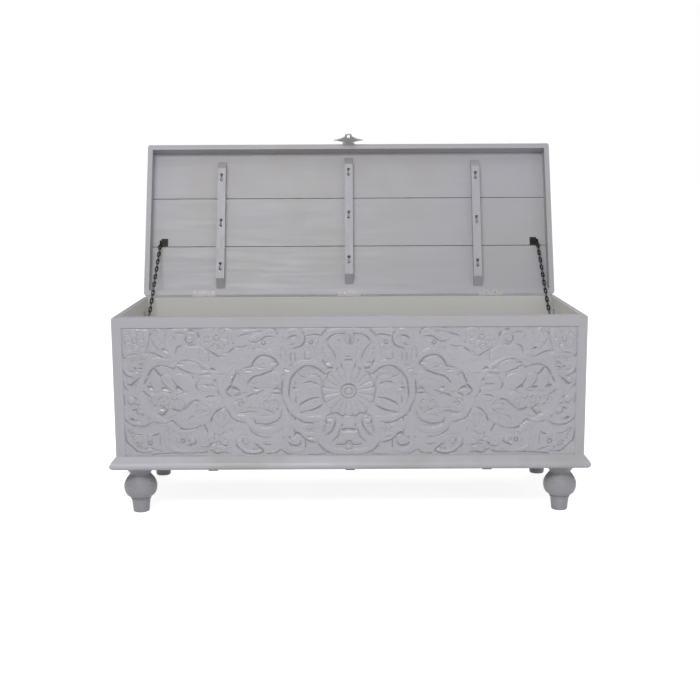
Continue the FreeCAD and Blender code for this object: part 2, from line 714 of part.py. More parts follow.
def link(start, end, normal):
    """One chain link: straight sides and faceted ends round a start and an end on its middle line."""
    run = (end - start).normalize()
    across = normal.cross(run)
    points = []
    for centre, forward in ((end - run * link_half_width, 1), (start + run * link_half_width, -1)):
        for turn_deg in (60, 0, -60):
            turn = math.radians(turn_deg)
            reach = link_half_width if turn_deg == 0 else link_half_width / math.sin(math.radians(60))
            points.append(centre + run * (forward * reach * math.cos(turn)) + across * (forward * reach * math.sin(turn)))
    return tube(points, wire_radius, wire_sides, normal, True)


def half_chain(first, last, count):
    """Links from a point on the first one's middle line to a point on the last one's, turned by quarters."""
    run = last - first
    length = run.Length
    run.normalize()
    flat = (X - run * X.dot(run)).normalize()
    bite = 2 * wire_radius + link_gap
    pitch = (length - bite) / count
    links = []
    for i in range(count):
        start = first + run * (pitch * i)
        normal = flat if i % 2 == 0 else flat.cross(run)
        links.append(link(start, start + run * (pitch + bite), normal))
    return Part.makeCompound(links)


def stays():
    """Two chain stays, each as two half chains, with the plate and stud at either end."""
    wall_screws, lid_screws, wall_plates, lid_plates = [], [], [], []
    for name, side in zip(side_names, (-1, 1)):
        wall, lid = stay_ends(side)
        run = (lid - wall).normalize()
        knee = (wall + lid) * 0.5
        parts["chain_%s_lower" % name] = half_chain(wall - run * link_half_width, knee, lower_link_count)
        upper = half_chain(lid + run * link_half_width, knee - run * link_half_width, upper_link_count)
        parts["chain_%s_upper" % name] = upper
        wall_plates.append(wall_plate(wall, side))
        lid_plates.append(lid_plate(side))
        for step in (-1, 1):
            face_x = side * (inner_side - stay_plate_thickness)
            head = Vector(face_x, wall.y, wall.z + step * stay_plate_height * 0.32)
            wall_screws.append(screw(head, X * side, small_screw_radius, small_screw_length))
            head = Vector(side * (stay_lid_place - stay_plate_width * 0.75), pin_y - stay_lid_along
                          + step * stay_plate_height * 0.3, lid_under - stay_plate_thickness)
            lid_screws.append(screw(head, Z, small_screw_radius, small_screw_length))
    wall_heads, lid_heads = Part.makeCompound(wall_screws), Part.makeCompound(lid_screws)
    parts["chain_wall_plates"] = Part.makeCompound([plate.cut(wall_heads) for plate in wall_plates])
    parts["chain_lid_plates"] = opened(Part.makeCompound([plate.cut(lid_heads) for plate in lid_plates]))
    parts["chain_wall_screws"] = wall_heads
    parts["chain_lid_screws"] = opened(lid_heads.copy())


def stud(point, side, root_x):
    """A short round stud with a head, along X, from its root to just past the point where a link hangs."""
    end_x = point.x - side * (wire_radius + link_gap)
    if (end_x - root_x) * side > 0:
        end_x = point.x + side * (wire_radius + link_gap)
    away = X if end_x > root_x else -X
    reach = abs(end_x - root_x)
    stations = ((0.0, stud_radius), (reach, stud_radius), (reach, stud_head_radius),
                (reach + stud_head, stud_head_radius))
    return turned(stations, stud_sides, Vector(root_x, point.y, point.z), away)


def wall_plate(wall, side):
    """The plate on an end board that holds the foot of a chain."""
    face_x = side * inner_side
    inner_x = side * (inner_side - stay_plate_thickness)
    half_w, half_h = stay_plate_width / 2, stay_plate_height / 2
    x0, x1 = min(face_x, inner_x), max(face_x, inner_x)
    plate = block(x0, x1, wall.y - half_w, wall.y + half_w, wall.z - half_h, wall.z + half_h)
    return plate.fuse(stud(wall, side, inner_x)).removeSplitter()


def lid_plate(side):
    """The black plate on a lid plank, with an ear and a stud for the head of a chain, as it lies when shut."""
    y = pin_y - stay_lid_along
    z = lid_under - stay_lid_above
    ear_x = stay_lid_place - wire_radius - link_gap - stay_ear_thickness
    half_h = stay_plate_height / 2
    x0, x1 = sorted((side * (ear_x + stay_ear_thickness - stay_plate_width), side * (ear_x + stay_ear_thickness)))
    plate = block(x0, x1, y - half_h, y + half_h, lid_under - stay_plate_thickness, lid_under)
    e0, e1 = sorted((side * ear_x, side * (ear_x + stay_ear_thickness)))
    ear_half = stud_head_radius * 1.2
    ear = block(e0, e1, y - ear_half, y + ear_half, z - ear_half, lid_under)
    rod = stud(Vector(side * stay_lid_place, y, z), side, side * ear_x)
    return plate.fuse(ear).fuse(rod).removeSplitter()


def hasp():
    """The hasp plate on the lid's front edge, its pin, and the winged flap that drops over the staple."""
    y = front_y - hasp_knuckle_radius - hasp_standoff
    z = lid_bottom + hasp_pin_above
    half = hasp_plate_width / 2
    centre_half = hasp_root_width / 2
    plate_low = z + hasp_knuckle_radius * 0.5
    plate = block(-half, half, front_y - hasp_plate_thickness, front_y, plate_low, plate_low + hasp_plate_height)
    room = centre_half + knuckle_gap
    plate = plate.cut(block(-room, room, y, front_y, z, z + hasp_knuckle_radius + knuckle_gap))
    for x0 in (-half, room):
        x1 = x0 + half - room
        web = block(x0, x1, y, front_y, z, plate_low + hasp_plate_thickness)
        plate = plate.fuse(barrel(x0, x1, hasp_knuckle_radius, y, z)).fuse(web)
    hole = bore(-half, half, hasp_pin_radius, y, z)
    screws = []
    for step in (-1, 1):
        head = Vector(step * half * 0.6, front_y - hasp_plate_thickness, plate_low + hasp_plate_height * 0.7)
        screws.append(screw(head, Y, small_screw_radius, small_screw_length))
    parts["hasp_plate"] = opened(plate.cut(hole).cut(Part.makeCompound(screws)))
    parts["hasp_screws"] = opened(Part.makeCompound(screws))
    parts["hasp_pin"] = opened(barrel(-half, half, hasp_pin_radius, y, z))
    parts["hasp_flap"] = opened(hasp_flap(y, z).cut(hole))


def hasp_flap(y, z):
    """The flap as it hangs when shut: a root, two pointed wings, a slot and a round nose."""
    root = hasp_root_width / 2
    neck = Vector(root, y, z - hasp_knuckle_radius * 1.5)
    wing = Vector(hasp_width / 2, y, z - hasp_length * hasp_wing_share)
    nose = Vector(hasp_nose_radius * 0.82, y, z - hasp_length + hasp_nose_radius * 1.57)
    tip = Vector(0, y, z - hasp_length)
    half_edge = [Vector(root, y, z)] + bow(neck, wing, 0.08, 3) + bow(wing, nose, 0.12, 4)[1:]
    half_edge += bow(nose, tip, -0.34, 4)[1:]
    other = [Vector(-v.x, v.y, v.z) for v in reversed(half_edge[:-1])]
    flap = slab(half_edge + other, Y * hasp_thickness)
    flap.translate(Y * (-hasp_thickness / 2))
    root_barrel = barrel(-root, root, hasp_knuckle_radius, y, z)
    slot_z = box_top - staple_below_top
    half = slot_height / 2
    slot = block(-slot_width / 2, slot_width / 2, y - overrun, y + overrun, slot_z - half, slot_z + half)
    return flap.fuse(root_barrel).cut(slot)


def staple():
    """The eye on the front for the hasp: a loop of thick wire on a small plate."""
    z = box_top - staple_below_top
    face_y = front_y
    half = staple_height / 2 - staple_wire_radius
    bend = half * 0.55
    out = staple_reach - staple_wire_radius
    points = []
    for reach, rise in ((0, -half), (out - bend, -half), (out, -half + bend), (out, half - bend),
                        (out - bend, half), (0, half)):
        points.append(Vector(0, face_y - reach, z + rise))
    loop = tube(points, staple_wire_radius, wire_sides, X, False)
    half_w, half_h = staple_plate_width / 2, staple_plate_height / 2
    plate = block(-half_w, half_w, face_y - staple_plate_thickness, face_y, z - half_h, z + half_h)
    parts["staple"] = plate.fuse(loop).removeSplitter()


front_frame()
carved_panel()
box_boards()
base()
floor()
feet()
lid_planks()
lid_rims()
lid_battens()
hinges()
for rim_name in ("front", "back", "left", "right"):
    opened(parts["lid_rim_" + rim_name])
stays()
hasp()
staple()

os.makedirs("parts", exist_ok=True)
for node, shape in parts.items():
    if not shape.isValid():
        print("not valid:", node)
    shape.exportStep("parts/%s.step" % node)

lower_turn_deg, upper_turn_deg = stay_folding()
print(len(parts), "nodes; half chains turn", round(lower_turn_deg, 2), round(upper_turn_deg, 2))
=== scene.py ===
import bpy
import math
import numpy as np
from mathutils import Matrix, Vector


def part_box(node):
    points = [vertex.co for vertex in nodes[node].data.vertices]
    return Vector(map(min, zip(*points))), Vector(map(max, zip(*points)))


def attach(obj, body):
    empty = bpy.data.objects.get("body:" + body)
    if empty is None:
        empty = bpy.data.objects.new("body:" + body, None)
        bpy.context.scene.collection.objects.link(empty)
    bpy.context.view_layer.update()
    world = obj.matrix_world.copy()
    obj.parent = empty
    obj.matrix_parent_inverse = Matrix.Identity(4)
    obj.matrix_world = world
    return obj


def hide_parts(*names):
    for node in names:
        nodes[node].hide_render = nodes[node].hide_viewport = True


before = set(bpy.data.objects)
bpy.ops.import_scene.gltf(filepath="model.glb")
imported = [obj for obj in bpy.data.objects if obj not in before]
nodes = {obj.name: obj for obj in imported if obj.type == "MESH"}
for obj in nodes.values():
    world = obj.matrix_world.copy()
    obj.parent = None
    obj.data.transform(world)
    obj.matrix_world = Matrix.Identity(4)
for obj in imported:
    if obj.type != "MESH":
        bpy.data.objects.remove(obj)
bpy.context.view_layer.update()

# Colours as they should look under plain light
PAINT = (0.435, 0.428, 0.462)
PAINT_WARM = (0.455, 0.443, 0.452)
# Painted shade for the carving's hollows
PAINT_HOLLOW_SHADE = (0.25, 0.243, 0.262)
CREAM = (0.615, 0.60, 0.57)
# Dark bare wood, kept near black as painted shade under the floor
BATTEN_BROWN_AND_SHADE = (0.085, 0.07, 0.068)
BRONZE = (0.007, 0.006, 0.0055)
BRONZE_WORN = (0.020, 0.015, 0.012)
BRONZE_RUBBED = (0.030, 0.024, 0.019)
STEEL_CHIP = (0.20, 0.19, 0.185)
STEEL_DARK = (0.16, 0.155, 0.15)
STEEL_LIGHT = (0.34, 0.33, 0.345)

# Inner faces of the box, and how far from them the cream lining ends
INNER_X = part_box("side_board_right")[0].x
INNER_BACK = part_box("back_board_upper")[0].y
INNER_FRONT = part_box("front_top_rail")[1].y
LINING_STARTS = 0.0016
LINING_FULL = 0.0010

# Small forms that paint and wear give the CAD's own pieces
SOFT_EDGE = 0.0008
SOFT_ANGLE = math.radians(35)
LINK_SWELL = 0.0011


def shade(tint, colour):
    return tuple(c * tint for c in colour)


class Nodes:
    """The node tree of a material or the world, with the kinds of node that the looks here are made from."""

    def __init__(self, owner, output):
        owner.use_nodes = True
        self.tree = owner.node_tree
        self.tree.nodes.clear()
        self.surface = self.add(output).inputs["Surface"]

    def add(self, kind):
        return self.tree.nodes.new("ShaderNode" + kind)

    def put(self, value, socket):
        """Feeds an input from another node, or sets it to a plain number or colour."""
        if isinstance(value, bpy.types.NodeSocket):
            self.tree.links.new(value, socket)
        else:
            socket.default_value = (*value, 1) if isinstance(value, tuple) else value

    def maths(self, operation, *values):
        node = self.add("Math")
        node.operation = operation
        for value, socket in zip(values, node.inputs):
            self.put(value, socket)
        return node.outputs[0]

    def place(self):
        """The part's own coordinates."""
        return self.add("TexCoord").outputs["Object"]

    def noise(self, scale, detail=4.0, rough=0.55, stretch=(1, 1, 1), distort=0.0):
        """Fractal noise, stretched along an axis."""
        mapping = self.add("Mapping")
        mapping.inputs["Scale"].default_value = stretch
        self.put(self.place(), mapping.inputs["Vector"])
        noise = self.add("TexNoise")
        for key, value in (("Scale", scale), ("Detail", detail), ("Roughness", rough), ("Distortion", distort)):
            noise.inputs[key].default_value = value
        self.put(mapping.outputs["Vector"], noise.inputs["Vector"])
        return noise.outputs["Fac"]

    def ramp(self, value, low, high, start=0.0, end=1.0):
        """A grey that runs from start to end while the value runs from low to high."""
        node = self.add("ValToRGB")
        for element, position, grey in zip(node.color_ramp.elements, (low, high), (start, end)):
            element.position = position
            element.color = (grey, grey, grey, 1)
        self.put(value, node.inputs["Fac"])
        return node.outputs["Color"]

    def mix(self, share, a, b):
        """A mix of two colours, each of them plain or from a node."""
        node = self.add("Mix")
        node.data_type = "RGBA"
        for key, value in (("Factor", share), ("A", a), ("B", b)):
            self.put(value, [s for s in node.inputs if s.name == key and s.enabled][0])
        return [s for s in node.outputs if s.enabled][0]

    def pointiness(self, low, high):
        """1 on the outer edges of a mesh, 0 on its flats."""
        return self.ramp(self.add("NewGeometry").outputs["Pointiness"], low, high)


class Finish(Nodes):
    """A material round one shader."""

    def __init__(self, name):
        self.material = bpy.data.materials.new(name)
        super().__init__(self.material, "OutputMaterial")
        self.shader = self.add("BsdfPrincipled")
        self.put(self.shader.outputs["BSDF"], self.surface)

    def dress(self, looks, bumps=()):
        """Sets the shader's inputs by name, and stacks bumps, each (height, strength, distance), in its normal."""
        for key, value in looks.items():
            self.put(value, self.shader.inputs[key])
        normal = None
        for height, strength, distance in bumps:
            node = self.add("Bump")
            node.inputs["Strength"].default_value = strength
            node.inputs["Distance"].default_value = distance
            self.put(height, node.inputs["Height"])
            if normal is not None:
                self.put(normal, node.inputs["Normal"])
            normal = node.outputs["Normal"]
        if normal is not None:
            self.put(normal, self.shader.inputs["Normal"])
        return self.material

    def inside(self):
        """1 on the faces that look into the box, 0 outside it."""
        split = self.add("SeparateXYZ")
        self.put(self.place(), split.inputs["Vector"])
        steps = []
        for value, edge, way in ((self.maths("ABSOLUTE", split.outputs["X"]), INNER_X, 1),
                                 (split.outputs["Y"], INNER_BACK, 1), (split.outputs["Y"], INNER_FRONT, -1)):
            step = self.add("MapRange")
            step.inputs["From Min"].default_value = edge + way * LINING_STARTS
            step.inputs["From Max"].default_value = edge + way * LINING_FULL
            self.put(value, step.inputs["Value"])
            steps.append(step.outputs["Result"])
        return self.maths("MULTIPLY", self.maths("MULTIPLY", steps[0], steps[1]), steps[2])


def painted_wood(name, grain, colour=PAINT, hollow_shade=False, rough=0.42, lined=0.0):
    """Brushed white paint over wood: faint grain, brush marks along the board, soft stains, and worn edges; with
    hollow_shade, painted shade darkens the carving's hollows instead of the worn edges.
    """
    wood = Finish(name)
    along = {"x": (0.06, 1, 1), "y": (1, 0.06, 1), "z": (1, 1, 0.06)}[grain]
    fibres = wood.noise(340, 5, 0.6, along, 0.4)
    strokes = wood.noise(90, 3, 0.5, along, 0.8)
    cloud = wood.noise(5.5, 4, 0.55)
    base = wood.mix(wood.ramp(cloud, 0.35, 0.68), shade(0.965, colour), shade(1.03, colour))
    base = wood.mix(wood.ramp(strokes, 0.38, 0.62), base, wood.mix(0.5, base, shade(0.93, colour)))
    if hollow_shade:
        # Painted shade: the lower the carving lies, the darker its paint, as shadow in the hollows
        relief = wood.add("Attribute")
        relief.attribute_name = "relief"
        base = wood.mix(wood.ramp(relief.outputs["Fac"], 0.08, 0.53, 1, 0), base, PAINT_HOLLOW_SHADE)
    else:
        worn = wood.mix(wood.ramp(cloud, 0.4, 0.6), (0, 0, 0), wood.pointiness(0.52, 0.60))
        base = wood.mix(worn, base, shade(0.90, PAINT_WARM))
    if lined:
        base = wood.mix(wood.inside(), base, wood.mix(strokes, shade(0.96 * lined, CREAM), shade(1.04 * lined, CREAM)))
    return wood.dress({"Base Color": base, "Roughness": wood.ramp(strokes, 0.3, 0.7, rough - 0.05, rough + 0.08),
                       "Specular IOR Level": 0.45}, ((strokes, 0.16, 0.0006), (fibres, 0.10, 0.0003)))


def dark_wood(name):
    """Bare dark hardwood with long grain, its brown kept near black, which also paints the shade under the floor."""
    wood = Finish(name)
    fibres = wood.noise(260, 6, 0.65, (1, 0.05, 1), 0.6)
    cloud = wood.noise(12, 3, 0.5, (1, 0.2, 1))
    base = wood.mix(wood.ramp(fibres, 0.35, 0.65), shade(0.6, BATTEN_BROWN_AND_SHADE), shade(1.35, BATTEN_BROWN_AND_SHADE))
    base = wood.mix(cloud, base, shade(0.9, BATTEN_BROWN_AND_SHADE))
    return wood.dress({"Base Color": base, "Roughness": 0.62}, ((fibres, 0.3, 0.0005),))


def painted_metal(name, colour):
    """Paint brushed over metal: thick drips, and chips of steel where it rubs."""
    metal = Finish(name)
    lumps = metal.noise(160, 3, 0.5)
    cloud = metal.noise(45, 4, 0.6)
    chips = metal.noise(420, 5, 0.7)
    base = metal.mix(cloud, shade(0.92, colour), shade(1.04, colour))
    base = metal.mix(metal.ramp(chips, 0.66, 0.70), base, STEEL_CHIP)
    return metal.dress({"Base Color": base, "Metallic": metal.ramp(chips, 0.64, 0.72, 0, 0.8),
                        "Roughness": metal.ramp(cloud, 0.3, 0.7, 0.34, 0.5)},
                       ((lumps, 0.25, 0.0004), (chips, 0.1, 0.0001)))


def dark_metal(name):
    """Blackened brass, rubbed brighter on its high spots."""
    metal = Finish(name)
    cloud = metal.noise(240, 4, 0.6)
    base = metal.mix(metal.ramp(cloud, 0.35, 0.7), BRONZE, BRONZE_WORN)
    base = metal.mix(metal.pointiness(0.50, 0.58), base, BRONZE_RUBBED)
    return metal.dress({"Base Color": base, "Metallic": 0.25, "Specular IOR Level": 0.18,
                        "Roughness": metal.ramp(cloud, 0.3, 0.7, 0.32, 0.55)}, ((cloud, 0.3, 0.0002),))


def screw_steel(name, tint=1.0):
    """Dull steel, clouded with tarnish, and made darker all over by tint where painted shade is wanted."""
    metal = Finish(name)
    cloud = metal.noise(500, 4, 0.6)
    base = metal.mix(metal.ramp(cloud, 0.4, 0.6), shade(tint, STEEL_DARK), shade(tint, STEEL_LIGHT))
    return metal.dress({"Base Color": base, "Metallic": 0.7, "Roughness": 0.4}, ((cloud, 0.3, 0.0001),))


# What each piece is made of: the first entry whose words the node's name holds. The rest is wood_x
wood_x = painted_wood("white_paint_along_x", "x")
wood_y = painted_wood("white_paint_along_y", "y")
wood_z = painted_wood("white_paint_along_z", "z")
lined_x = painted_wood("white_paint_lined_x", "x", lined=1.0)
# The carving's paint is 3 % darker than the rest and darker still in its hollows: painted shade of the relief
carved = painted_wood("white_paint_carving_painted_shade", "x", shade(0.97, PAINT), hollow_shade=True, rough=0.23)
# The feet's paint is a quarter darker: painted shade below the box, where less light reaches
foot_paint_shaded = painted_wood("white_paint_feet_shaded", "z", shade(0.76, PAINT))
hinge_paint = painted_metal("painted_hinge_metal", PAINT_WARM)
FINISHES = {
    "floor_batten": dark_wood("dark_hardwood_and_shade"),
    "chain_wall_plates": hinge_paint,
    "chain": dark_metal("blackened_brass"),
    # The screws in the lid battens' pockets are near black: painted shade in the pockets
    "lid_batten_screws": screw_steel("screw_steel_shaded_in_pockets", 0.22),
    "screws": screw_steel("screw_steel"),
    # The staple takes the carving's paint, 3 % darker as painted shade
    "staple": painted_metal("painted_staple_metal", shade(0.97, PAINT)),
    # The hasp's paint is a third lighter: painted light on a flap that faces away from the lamps
    "hasp": painted_metal("painted_hasp_metal_lightened", shade(1.35, PAINT_WARM)),
    "hinge": hinge_paint,
    # The mouldings' paint is 14 % lighter: painted light on their upward faces
    "moulding_front": painted_wood("white_paint_moulding_lit_x", "x", shade(1.14, PAINT)),
    "moulding": painted_wood("white_paint_moulding_lit_y", "y", shade(1.14, PAINT)),
    # The side boards' cream lining is 22 % lighter than the back's: painted light on inner faces that the lamps reach
    # only at a grazing angle
    "side_board": painted_wood("white_paint_lined_lit_y", "y", lined=1.22),
    "back_board": lined_x, "floor_board": lined_x, "front_top_rail": lined_x,
    "lid_rim_left": wood_y, "lid_rim_right": wood_y, "corner": wood_y,
    "foot": foot_paint_shaded,
    "front_stile": wood_z, "lid_batten": wood_z,
}
for name, obj in nodes.items():
    finish = next((material for words, material in FINISHES.items() if words in name), wood_x)
    for slot in obj.material_slots:
        slot.material = finish
    if name.startswith(("front_", "side_", "back_", "base_", "lid_", "floor_board")) and "screws" not in name:
        bevel = obj.modifiers.new("soft_edges", "BEVEL")
        bevel.width = SOFT_EDGE
        bevel.segments = 2
        bevel.limit_method = "ANGLE"
        bevel.angle_limit = SOFT_ANGLE
        bevel.harden_normals = False
    if name.startswith("chain") and name.endswith(("upper", "lower")):
        swell = obj.modifiers.new("worn_links", "DISPLACE")
        swell.strength = LINK_SWELL
        swell.mid_level = 0.0


# Curves
def between(before, a, b, after, t):
    """The point at share t of the way from a to b, on a smooth curve that also heeds their neighbours."""
    return 0.5 * (2 * a + (b - before) * t + (2 * before - 5 * a + 4 * b - after) * t * t
                  + (3 * a - before - 3 * b + after) * t ** 3)


def curve_through(points, closed=False, steps=5):
    """A smooth curve through points, as an array."""
    p = np.array(points, float)
    n = len(p)
    out = []
    for i in range(n if closed else n - 1):
        a, b = p[i], p[(i + 1) % n]
        before = p[i - 1] if closed or i else 2 * a - b
        after = p[(i + 2) % n] if closed or i + 2 < n else 2 * b - a
        out += [between(before, a, b, after, s / steps) for s in range(steps)]
    out.append(out[0] if closed else p[-1])
    return np.array(out)


# Turned feet: (radius, height, 1 where the profile breaks)
FOOT_PROFILE = np.array((
    (0.0176, 0.0, 1), (0.0196, 0.0022, 0), (0.0210, 0.016, 0), (0.0228, 0.0318, 1), (0.0252, 0.0340, 0),
    (0.0240, 0.0368, 1), (0.0335, 0.0432, 0), (0.0382, 0.0515, 0), (0.0404, 0.0630, 0), (0.0392, 0.0735, 1),
    (0.0381, 0.0745, 0), (0.0379, 0.0762, 1), (0.0356, 0.0815, 1), (0.0343, 0.0825, 0), (0.0338, 0.0842, 1),
    (0.0300, 0.0892, 0), (0.0262, 0.0945, 1), (0.0254, 0.0962, 0), (0.0268, 0.0990, 0), (0.0310, 0.1045, 0),
    (0.0362, 0.1105, 0), (0.0404, 0.1145, 1), (0.0404, 0.1178, 1)))
FOOT_STEPS = 7
FOOT_SIDES = 72


def foot_profile():
    """The profile as a smooth line of (radius, height) points."""
    p, breaks = FOOT_PROFILE[:, :2], FOOT_PROFILE[:, 2]
    out = []
    for i in range(len(p) - 1):
        a, b = p[i:i + 2]
        before = p[i - 1] if i and not breaks[i] else a
        after = p[i + 2] if i + 2 < len(p) and not breaks[i + 1] else b
        out += [between(before, a, b, after, s / FOOT_STEPS) for s in range(FOOT_STEPS)]
    return out + [p[-1]]


def new_piece(name, verts, faces, smooth, material, node):
    """A painted wooden piece of the carcase from a mesh, in place of a node. The first faces are shaded smooth."""
    mesh = bpy.data.meshes.new(name)
    mesh.from_pydata(verts, [], faces)
    mesh.update()
    mesh.polygons.foreach_set("use_smooth", np.arange(len(faces)) < smooth)
    mesh.materials.append(material)
    obj = bpy.data.objects.new(name, mesh)
    bpy.context.collection.objects.link(obj)
    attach(obj, "carcase")
    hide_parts(node)
    return mesh


def turned_foot(node):
    """A smooth turned foot round the middle of the node's own."""
    low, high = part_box(node)
    x, y = (low.x + high.x) / 2, (low.y + high.y) / 2
    profile = foot_profile()
    verts, faces = [], []
    for r, z in profile:
        for k in range(FOOT_SIDES):
            a = 2 * math.pi * k / FOOT_SIDES
            verts.append((x + r * math.cos(a), y + r * math.sin(a), z))
    for i in range(len(profile) - 1):
        for k in range(FOOT_SIDES):
            near, far = i * FOOT_SIDES, (i + 1) * FOOT_SIDES
            m = (k + 1) % FOOT_SIDES
            faces.append((near + k, near + m, far + m, far + k))
    smooth = len(faces)
    faces.append(tuple(range(FOOT_SIDES))[::-1])
    faces.append(tuple(range(len(verts) - FOOT_SIDES, len(verts))))
    new_piece("turned_" + node, verts, faces, smooth, foot_paint_shaded, node)


for name in nodes:
    if name.startswith("foot_"):
        turned_foot(name)


# Carved front, in mm: z from the floor, heights from a plane CARVE_DEPTH behind the frame. The left half is drawn and
# mirrored, so the tables' x runs leftwards from the chest's middle line. Forms stand up from the field, valleys run
# round them, and facets lean up to the light
MM = 1000
CARVE_PITCH, QUICK_PITCH = 0.95, 1.5
MIDDLE = -3.0
CARVE_DEPTH = 5.0
FIELD = 2.7
DEEPEST = 0.3
CREST = 4.1
FORM_SHARE = 0.76
FORM_EDGE = 3.5
FORM_DOME = 0.5
BUD_TOP, EYE_TOP = 4.4, 5.0
EYE_RING_DEPTH, EYE_RING_WIDTH = 1.3, 1.0
DOME_RISE, DOME_REACH = 1.5, 9.0
PAD_HALF_WIDTH, PAD_HALF_HEIGHT, PAD_Z = 8.5, 12.5, 438.0

# An eighth and a twelfth of a turn, in radians
EIGHTH, TWELFTH = 0.785, 0.524

# A valley: how far from its line it is drawn, the depth that none passes and how soon they near it, the steep core's
# share of the depth and of the width, the long slope's share of the depth, its reach and how far that changes from
# below the line to above it, how fast the ends run out, and how shallow they end
VALLEY_REACH = 9.0
VALLEY_MOST, VALLEY_EASE = 2.9, 1.8
CORE_SHARE, CORE_WIDTH = 0.78, 0.95
SLOPE_SHARE, SLOPE_REACH, SLOPE_CHANGE = 0.30, 3.0, 1.6
END_RUN, END_SHARE = 7, 0.35

# A facet: from which lift it is bright, how large a bright one gets, how steep and how sunk it is, and where it ends
BRIGHT_LIFT = 0.75
BRIGHT_WIDE, BRIGHT_HIGH = 8.0, 3.4
BRIGHT_SLOPE, BRIGHT_SUNK = 0.48, 0.45
DULL_SLOPE, DULL_SUNK = 1.3, 0.3
FACET_END, FACET_FADE, FACET_CAP = 1.35, 3, 1.3

# Veins: their width, and how far they bend on the way
VEIN_WIDTH, VEIN_BEND = 0.9, 0.45

# The rosette and its button, whose steps are (radius, top, edge) and whose valleys are (radius, depth)
ROSETTE_X, ROSETTE_Z = -4.0, 307.5
ROSETTE_PETALS, ROSETTE_TOP = 20, 4.3
ROSETTE_INNER, ROSETTE_OUTER, ROSETTE_START = 15.5, 61.5, 0.14
BUTTON_STEPS = ((16.0, 5.0, 2.5), (12.0, 4.6, 2.0))
BUTTON_RINGS = ((8.2, 3.4), (17.5, 2.6))
BUTTON_RING_WIDTH = 1.5

# Strips that frame the pattern: width at the start and at the end, then points
STRIPS = (
    (16, 16, 3, 453, 32, 453, 54, 445, 68, 430, 73, 408, 72, 385),
    (15, 15, 3, 158, 32, 159, 52, 167, 68, 183, 72, 205, 66, 238),
    (16, 16, 60, 366, 82, 374, 100, 377, 127, 369, 145, 346, 153.5, 318, 154, 300, 147, 276, 129, 252, 104, 240,
     72, 240),
    (14, 18, 150, 355, 168, 386, 188, 402, 208, 406, 228, 397, 240, 381, 262, 369, 281, 353, 294, 330, 306, 305),
    (17, 15, 150, 240, 178, 216, 200, 211, 228, 218, 250, 241, 275, 246, 290, 270, 304, 300),
    (13, 20, 304, 306, 320, 344, 345, 366, 395, 392, 440, 384, 478, 378, 496, 345, 505, 309),
    (12, 20, 306, 303, 326, 262, 350, 234, 400, 208, 432, 226, 470, 244, 496, 268, 503, 300),
    (15, 9, 420, 392, 434, 408, 441, 428, 430, 449, 404, 458, 378, 452, 363, 438, 368, 424),
    (14, 9, 436, 214, 442, 196, 436, 172, 408, 160, 380, 160, 366, 176, 370, 194),
    (11, 8, 484, 394, 510, 397, 534, 385, 538, 362, 522, 349, 505, 353),
    (13, 10, 470, 238, 500, 228, 528, 234, 539, 250),
    (11, 9, 146, 372, 148, 400, 155, 425, 149, 448, 134, 456, 118, 450, 112, 434, 119, 420),
    (18, 9, 150, 248, 152, 216, 154, 186, 146, 166, 128, 160, 113, 168, 112, 188),
    (11, 8, 275, 420, 268, 442, 246, 454, 222, 456),
    (13, 8, 236, 434, 212, 444, 190, 455, 176, 452),
    (12, 9, 268, 184, 262, 168, 240, 159, 218, 160),
)

